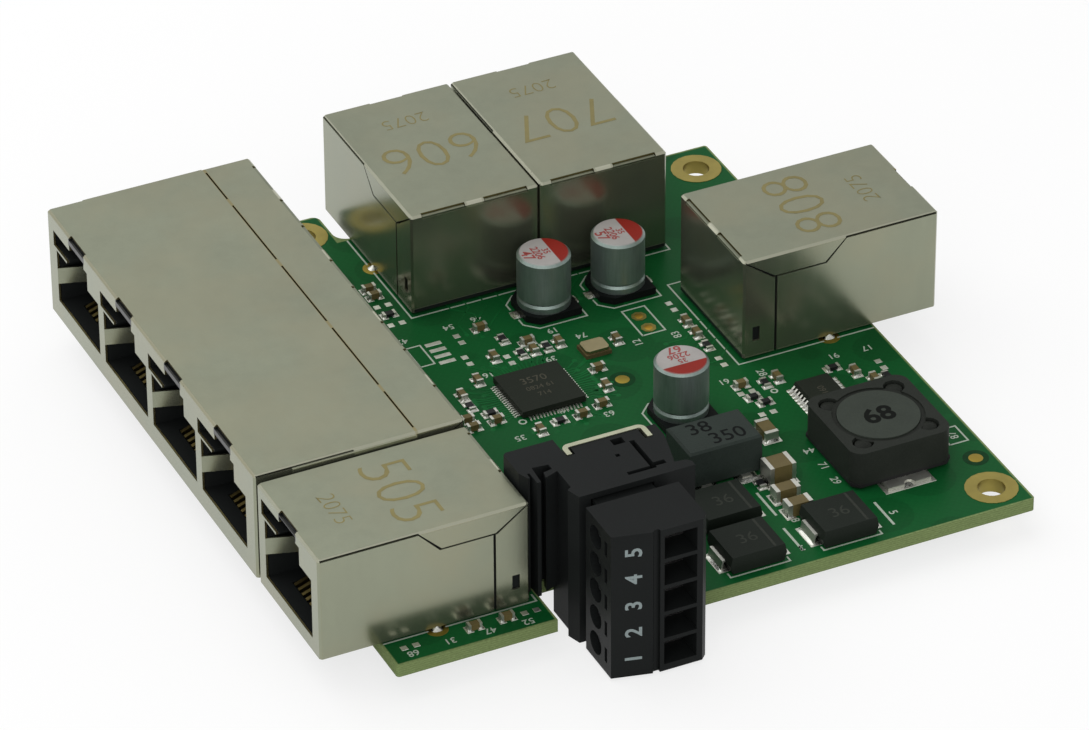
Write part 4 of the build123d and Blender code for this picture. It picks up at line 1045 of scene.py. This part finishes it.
class SWITCH_OT_connector(bpy.types.Operator):
    """Finish the power connector and print plain numbers on its plug"""

    bl_idname = "switch.connector"
    bl_label = "Power connector"

    def execute(self, context):
        put(moulded("header_plastic", look().plastic, 0.42, 0.3, 0.012), "header_housing")
        put(moulded("plug_plastic", tinted(look().plastic, 0.9), 0.36, 0.3, 0.01), "plug_housing")
        put(plated("plate_nickel", (0.44, 0.45, 0.33), 0.40), "header_rear_plate")
        put(plated("pin_gold", (0.40, 0.31, 0.14), 0.3), "header_pins")
        put(plated("clamp_steel", (0.26, 0.26, 0.25), 0.34), "plug_clamp_cages")
        put(plated("screw_steel", (0.20, 0.21, 0.22), 0.36), "plug_clamp_screws")
        self.numbers()
        return {"FINISHED"}

    def numbers(self):
        """The pole numbers 1 to 5 up the plug's slanted facet, read from the right."""
        facet_run = 4.5
        facet_fall = 1.1
        facet_start = 1.2
        inset = 2.4
        low, high = node_box("plug_housing")
        facet = np.array([facet_run, -facet_fall, 0.0]) / math.hypot(facet_run, facet_fall)
        outward = np.array([facet[1], -facet[0], 0.0])
        fall = inset * facet_fall / facet_run
        middle = np.array([low[0] + inset, low[1] + facet_start - fall, (low[2] + high[2]) / 2])
        parts = []
        for pole in range(5):
            spot = middle + outward * 0.03 + [0, 0, (pole - 2) * POLE_PITCH]
            parts.append(lettering(str(pole + 1), 1.9, spot, -facet, 0.02, right=(0, 0, 1)))
        paint = screened("label_ink", (0.24, 0.29, 0.29), 0.55, 0.15, 0.7)
        piece("plug_numbers", joined(parts), paint, PLUG, smooth=False)


class SWITCH_OT_cans(bpy.types.Operator):
    """Finish the can capacitors: aluminium can, white top with a red field at one side"""

    bl_idname = "switch.cans"
    bl_label = "Can capacitors"

    def execute(self, context):
        black = moulded("capacitor_base_plastic", (0.007, 0.008, 0.008), 0.42)
        parts = []
        for index, side in ((1, (1.0, 0.0)), (2, (1.0, 0.0)), (3, (0.0, -1.0))):
            name = "can_capacitor_%d" % index
            put(self.sleeve(name, side), name + "_can")
            put(black, name + "_base")
            rows = (("%d7" % (index + 3), -2.0, 1.35), ("2206", -0.75, 1.0), ("35", 0.3, 0.85))
            parts += [number_on(name + "_can", text, size, side + (0.0,), np.array(side) * shift, 0.02)
                      for text, shift, size in rows]
        red = stamped("red_print", (0.28, 0.035, 0.03), 0.5, 0.3)
        piece("can_numbers", joined(parts), red, smooth=False)
        return {"FINISHED"}

    def sleeve(self, name, side):
        """Brushed can whose top is coated white, with a red field on one side of a chord."""
        chord = 0.85
        low, high = node_box(name + "_can")
        centre = (low + high) / 2
        roof = high[2]
        f = Finish(name + "_finish", (0.25, 0.31, 0.285), 0.3, 1.0, 0.25)
        x, y, z = f.axes(f.place())
        top = z.ramp(roof - 0.12, roof - 0.06) * f.facing()[2].ramp(0.5, 0.8)
        across = (x - centre[0]) * side[0] + (y - centre[1]) * side[1]
        field = across.ramp(chord, chord + 0.1) * top
        brushed = f.noise(0.25, vector=f.stretched(1.0, 1.0, 0.08))
        cloud = f.noise(2.0)
        metal = f.shade(brushed * 0.5 + cloud * 0.4)
        white = f.shade(cloud * 0.4 + 0.35, (0.37, 0.35, 0.335))
        red = f.shade(cloud * 0.4 + 0.3, (0.25, 0.012, 0.005))
        f.set("Base Color", f.mix(field, f.mix(top, metal, white), red))
        f.set("Metallic", 0.8 - top * 0.65)
        f.set("Roughness", brushed * 0.12 + top * 0.1 + 0.36)
        f.bump(brushed, 0.01)
        return f


class SWITCH_OT_coils(bpy.types.Operator):
    """Finish the power inductor and the choke"""

    bl_idname = "switch.coils"
    bl_label = "Inductor and choke"

    def execute(self, context):
        put(ferrite("ferrite", (0.022, 0.025, 0.021), 0.5), "inductor_frame")
        put(ferrite("ferrite_core", (0.043, 0.051, 0.042), 0.55), "inductor_drum")
        put(moulded("inductor_base_plastic", (0.02, 0.02, 0.02), 0.5), "inductor_base")
        put(plated("copper_winding", (0.20, 0.08, 0.03), 0.4), "inductor_winding")
        put(ferrite("choke_plastic", (0.030, 0.039, 0.034), 0.45), "choke_body")
        north = (0.0, 1.0, 0.0)
        grey = stamped("grey_mark", (0.006, 0.007, 0.006), 0.6, 0.2, 0.05)
        piece("inductor_number", number_on("inductor_drum", "68", 2.9, north, bold=0.03), grey,
              smooth=False)
        self.hollow_floors()
        low, high = node_box("choke_body")
        size = (high - low)[:2]
        rows = [number_on("choke_body", text, 2.1, north, size * share, 0.005)
                for text, share in (("350", (0.12, -0.20)), ("38", (-0.14, 0.22)))]
        dark = stamped("dark_mark", (0.006, 0.007, 0.007), 0.6, 0.2, 0.05)
        piece("choke_number", joined(rows), dark, smooth=False)
        return {"FINISHED"}

    def hollow_floors(self):
        """Shallow floors in the inductor's corner lobes and in the groove round its drum, darker than the
        frame as painted shade of these hollows.
        """
        lobe_inset = 2.15
        lobe_radius = 1.19
        lobe_fill = (1.35, 1.3)
        groove_width = 0.55
        groove_depth = (0.14, 1.2)
        low, high = node_box("inductor_frame")
        centre = (low + high)[:2] / 2
        drum_low, drum_high = node_box("inductor_drum")
        radius = (drum_high - drum_low)[0] / 2
        reach = (high - low)[0] / 2 - lobe_inset
        spots = centre + reach * np.array([(-1, -1), (-1, 1), (1, -1), (1, 1)])
        fill = mounds(spots, lobe_radius, lobe_fill[1], high[2] - lobe_fill[0], ROUND, 0.12, 5, 28)
        groove = flat_ring(centre, radius, radius + groove_width, high[2] - groove_depth[1],
                           high[2] - groove_depth[0])
        # Painted shade: the floors are a darker ferrite than the frame, for the shade in the hollows.
        shaded_floor = ferrite("hollow_floor_painted_shade", (0.015, 0.017, 0.014), 0.4)
        piece("inductor_hollow_floors", joined([fill, groove]), shaded_floor)


class SWITCH_OT_chips(bpy.types.Operator):
    """Finish the chips, diodes, crystal and leadless parts and mark them with plain numbers"""

    bl_idname = "switch.chips"
    bl_label = "Chips and small parts"

    def execute(self, context):
        diodes = ["protection_diode_%d" % index for index in (1, 2, 3)]
        put(moulded("chip_plastic", (0.020, 0.024, 0.018), 0.5, 0.2), "controller_chip", "regulator_chip")
        put(moulded("diode_plastic", (0.014, 0.018, 0.014), 0.4, 0.25, 0.015), *diodes)
        put(moulded("crystal_ceramic", (0.10, 0.078, 0.035), 0.4), "crystal_tray")
        put(plated("crystal_lid", (0.40, 0.34, 0.20), 0.34), "crystal_lid")
        put(glazed("capacitor_ceramic", (0.135, 0.105, 0.040)),
            "small_capacitor_bodies", "large_capacitor_bodies")
        put(glazed("resistor_glaze", (0.012, 0.013, 0.014)), "resistor_bodies")
        north = (0.0, 1.0, 0.0)
        west = (-1.0, 0.0, 0.0)
        lift = PRINT_LIFT / 2
        chips = [number_on("controller_chip", text, size, north, (0.0, shift), lift=lift)
                 for text, size, shift in (("3570", 1.15, 1.6), ("0824 61", 0.75, 0.0), ("714", 0.75, -1.4))]
        chips.append(number_on("regulator_chip", "5160", 0.8, west, lift=lift))
        marks = [number_on(name, "36", 1.7, north, lift=lift) for name in diodes]
        marks += [self.band(name) for name in diodes]
        grey = stamped("chip_mark", (0.075, 0.072, 0.054), 0.6, 0.2, 0.06)
        piece("chip_marks", joined(chips), grey, smooth=False)
        dark = stamped("diode_mark", (0.036, 0.040, 0.033), 0.6, 0.2, 0.06)
        piece("diode_marks", joined(marks), dark, smooth=False)
        return {"FINISHED"}

    def band(self, name):
        """The band that marks one end of a diode."""
        band_inset = 1.35
        end_gap = 0.12
        low, high = node_box(name)
        x = high[0] - band_inset
        return ribbon([(x, low[1] + end_gap), (x, high[1] - end_gap)], 0.3, PRINT_LIFT / 2, high[2])


class SWITCH_OT_stage(bpy.types.Operator):
    """Set the floor, the lamps, the surroundings and the camera"""

    bl_idname = "switch.stage"
    bl_label = "Stage"

    def execute(self, context):
        scene = context.scene
        scene.view_settings.view_transform = "Standard"
        self.floor()
        self.surroundings(scene)
        self.lamp(scene, "key_lamp", Vector((-240, 390, 630)), 850, look().key_power)
        self.lamp(scene, "fill_lamp", Vector((-360, -630, 390)), 840, look().fill_power)
        self.camera(scene)
        return {"FINISHED"}

    def lamp(self, scene, name, place, size, power):
        """A large square lamp that faces the middle of the board."""
        middle = Vector((-40, 20, 0))
        lamp = bpy.data.lights.new(name, "AREA")
        lamp.energy = power
        lamp.size = size * MM
        holder = bpy.data.objects.new(name, lamp)
        holder.location = place * MM
        holder.rotation_euler = (middle - place).to_track_quat("-Z", "Y").to_euler()
        scene.collection.objects.link(holder)

    def floor(self):
        """A wide pale floor just under the lowest point: white to the camera, paler than its own
        shade to metal, and clear from below."""
        gap = 0.05
        span = 2500.0
        shadow_grey = (0.25, 0.25, 0.25)
        own_light = (0.745, 0.745, 0.745)
        mirrored_light = (0.52, 0.52, 0.52)
        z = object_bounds()[0][2] / MM - gap
        corners = np.array([(-span, -span, z), (span, -span, z), (span, span, z), (-span, span, z)])
        mesh = bpy.data.meshes.new("floor")
        mesh.from_pydata((corners * MM).tolist(), [], [[0, 1, 2, 3]])
        floor = bpy.data.objects.new("floor", mesh)
        bpy.context.scene.collection.objects.link(floor)
        f = Finish("floor_paper", (0.62, 0.62, 0.62), 0.9)
        seen = f.seen()
        f.set("Base Color", f.mix(seen, f.shade(f.noise(60.0, 2.0) * 0.06 + 0.47), shadow_grey))
        f.set("Emission Color", f.mix(seen, f.mix(f.mirrored(), (0.0, 0.0, 0.0), mirrored_light), own_light))
        f.set("Emission Strength", 1.0)
        f.set("Alpha", 1.0 - f.node("ShaderNodeNewGeometry", out="Backfacing"))
        mesh.materials.append(f.material)
        floor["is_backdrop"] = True

    def surroundings(self, scene):
        """A world that lights at a plain level, is brighter to metal, and is white to the camera."""
        plain = 0.45
        to_metal = 0.74
        world = bpy.data.worlds.new("surroundings")
        world.use_nodes = True
        scene.world = world
        sky = Nodes(world.node_tree, "Background")
        sky.set("Color", (1.0, 1.0, 1.0))
        sky.set("Strength", sky.seen() * (look().background - plain)
                + sky.mirrored() * (to_metal - plain) + plain)

    def camera(self, scene):
        """The photograph's view: place, three directions, lens and the small shift of its frame."""
        sensor = 36.0
        image_width = 1089.0
        image_height = 730.0
        focal_pixels = 6843.9
        centre_x = 536.2
        centre_y = 363.5
        place = np.array([-310.43, -540.41, 439.96])
        right = np.array([0.9028, -0.4300, -0.0061])
        down = np.array([-0.2459, -0.5045, -0.8276])
        forward = np.array([0.3528, 0.7487, -0.5613])
        data = bpy.data.cameras.new("photo_camera")
        data.sensor_width = sensor
        data.lens = sensor * focal_pixels / image_width
        data.shift_x = (image_width / 2 - centre_x) / image_width
        data.shift_y = -(image_height / 2 - centre_y) / image_width
        data.clip_start = 0.05
        data.clip_end = 10.0
        camera = bpy.data.objects.new("photo_camera", data)
        turn = np.stack([right, -down, -forward], 1)
        camera.matrix_world = Matrix.Translation(Vector(place * MM)) @ Matrix(turn.tolist()).to_4x4()
        scene.collection.objects.link(camera)
        scene.camera = camera


STEPS = (SWITCH_OT_board, SWITCH_OT_print, SWITCH_OT_solder, SWITCH_OT_jacks, SWITCH_OT_connector,
         SWITCH_OT_cans, SWITCH_OT_coils, SWITCH_OT_chips, SWITCH_OT_stage)


class SWITCH_PT_panel(bpy.types.Panel):
    """Sidebar panel with a button for each step"""

    bl_idname = "SWITCH_PT_panel"
    bl_label = "Switch Board"
    bl_space_type = "VIEW_3D"
    bl_region_type = "UI"
    bl_category = "Switch Board"

    def draw(self, context):
        for step in STEPS:
            self.layout.operator(step.bl_idname)
        for name in SwitchBoardLook.__annotations__:
            self.layout.prop(context.scene.switch_board, name)


CLASSES = (SwitchBoardLook,) + STEPS + (SWITCH_PT_panel,)


def register():
    for made in CLASSES:
        bpy.utils.register_class(made)
    bpy.types.Scene.switch_board = PointerProperty(type=SwitchBoardLook)


def unregister():
    del bpy.types.Scene.switch_board
    for made in reversed(CLASSES):
        bpy.utils.unregister_class(made)


def main():
    """Dress the board."""
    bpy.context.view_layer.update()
    register()
    for step in STEPS:
        group, name = step.bl_idname.split(".")
        getattr(getattr(bpy.ops, group), name)()
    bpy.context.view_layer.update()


if __name__ == "__main__":
    main()
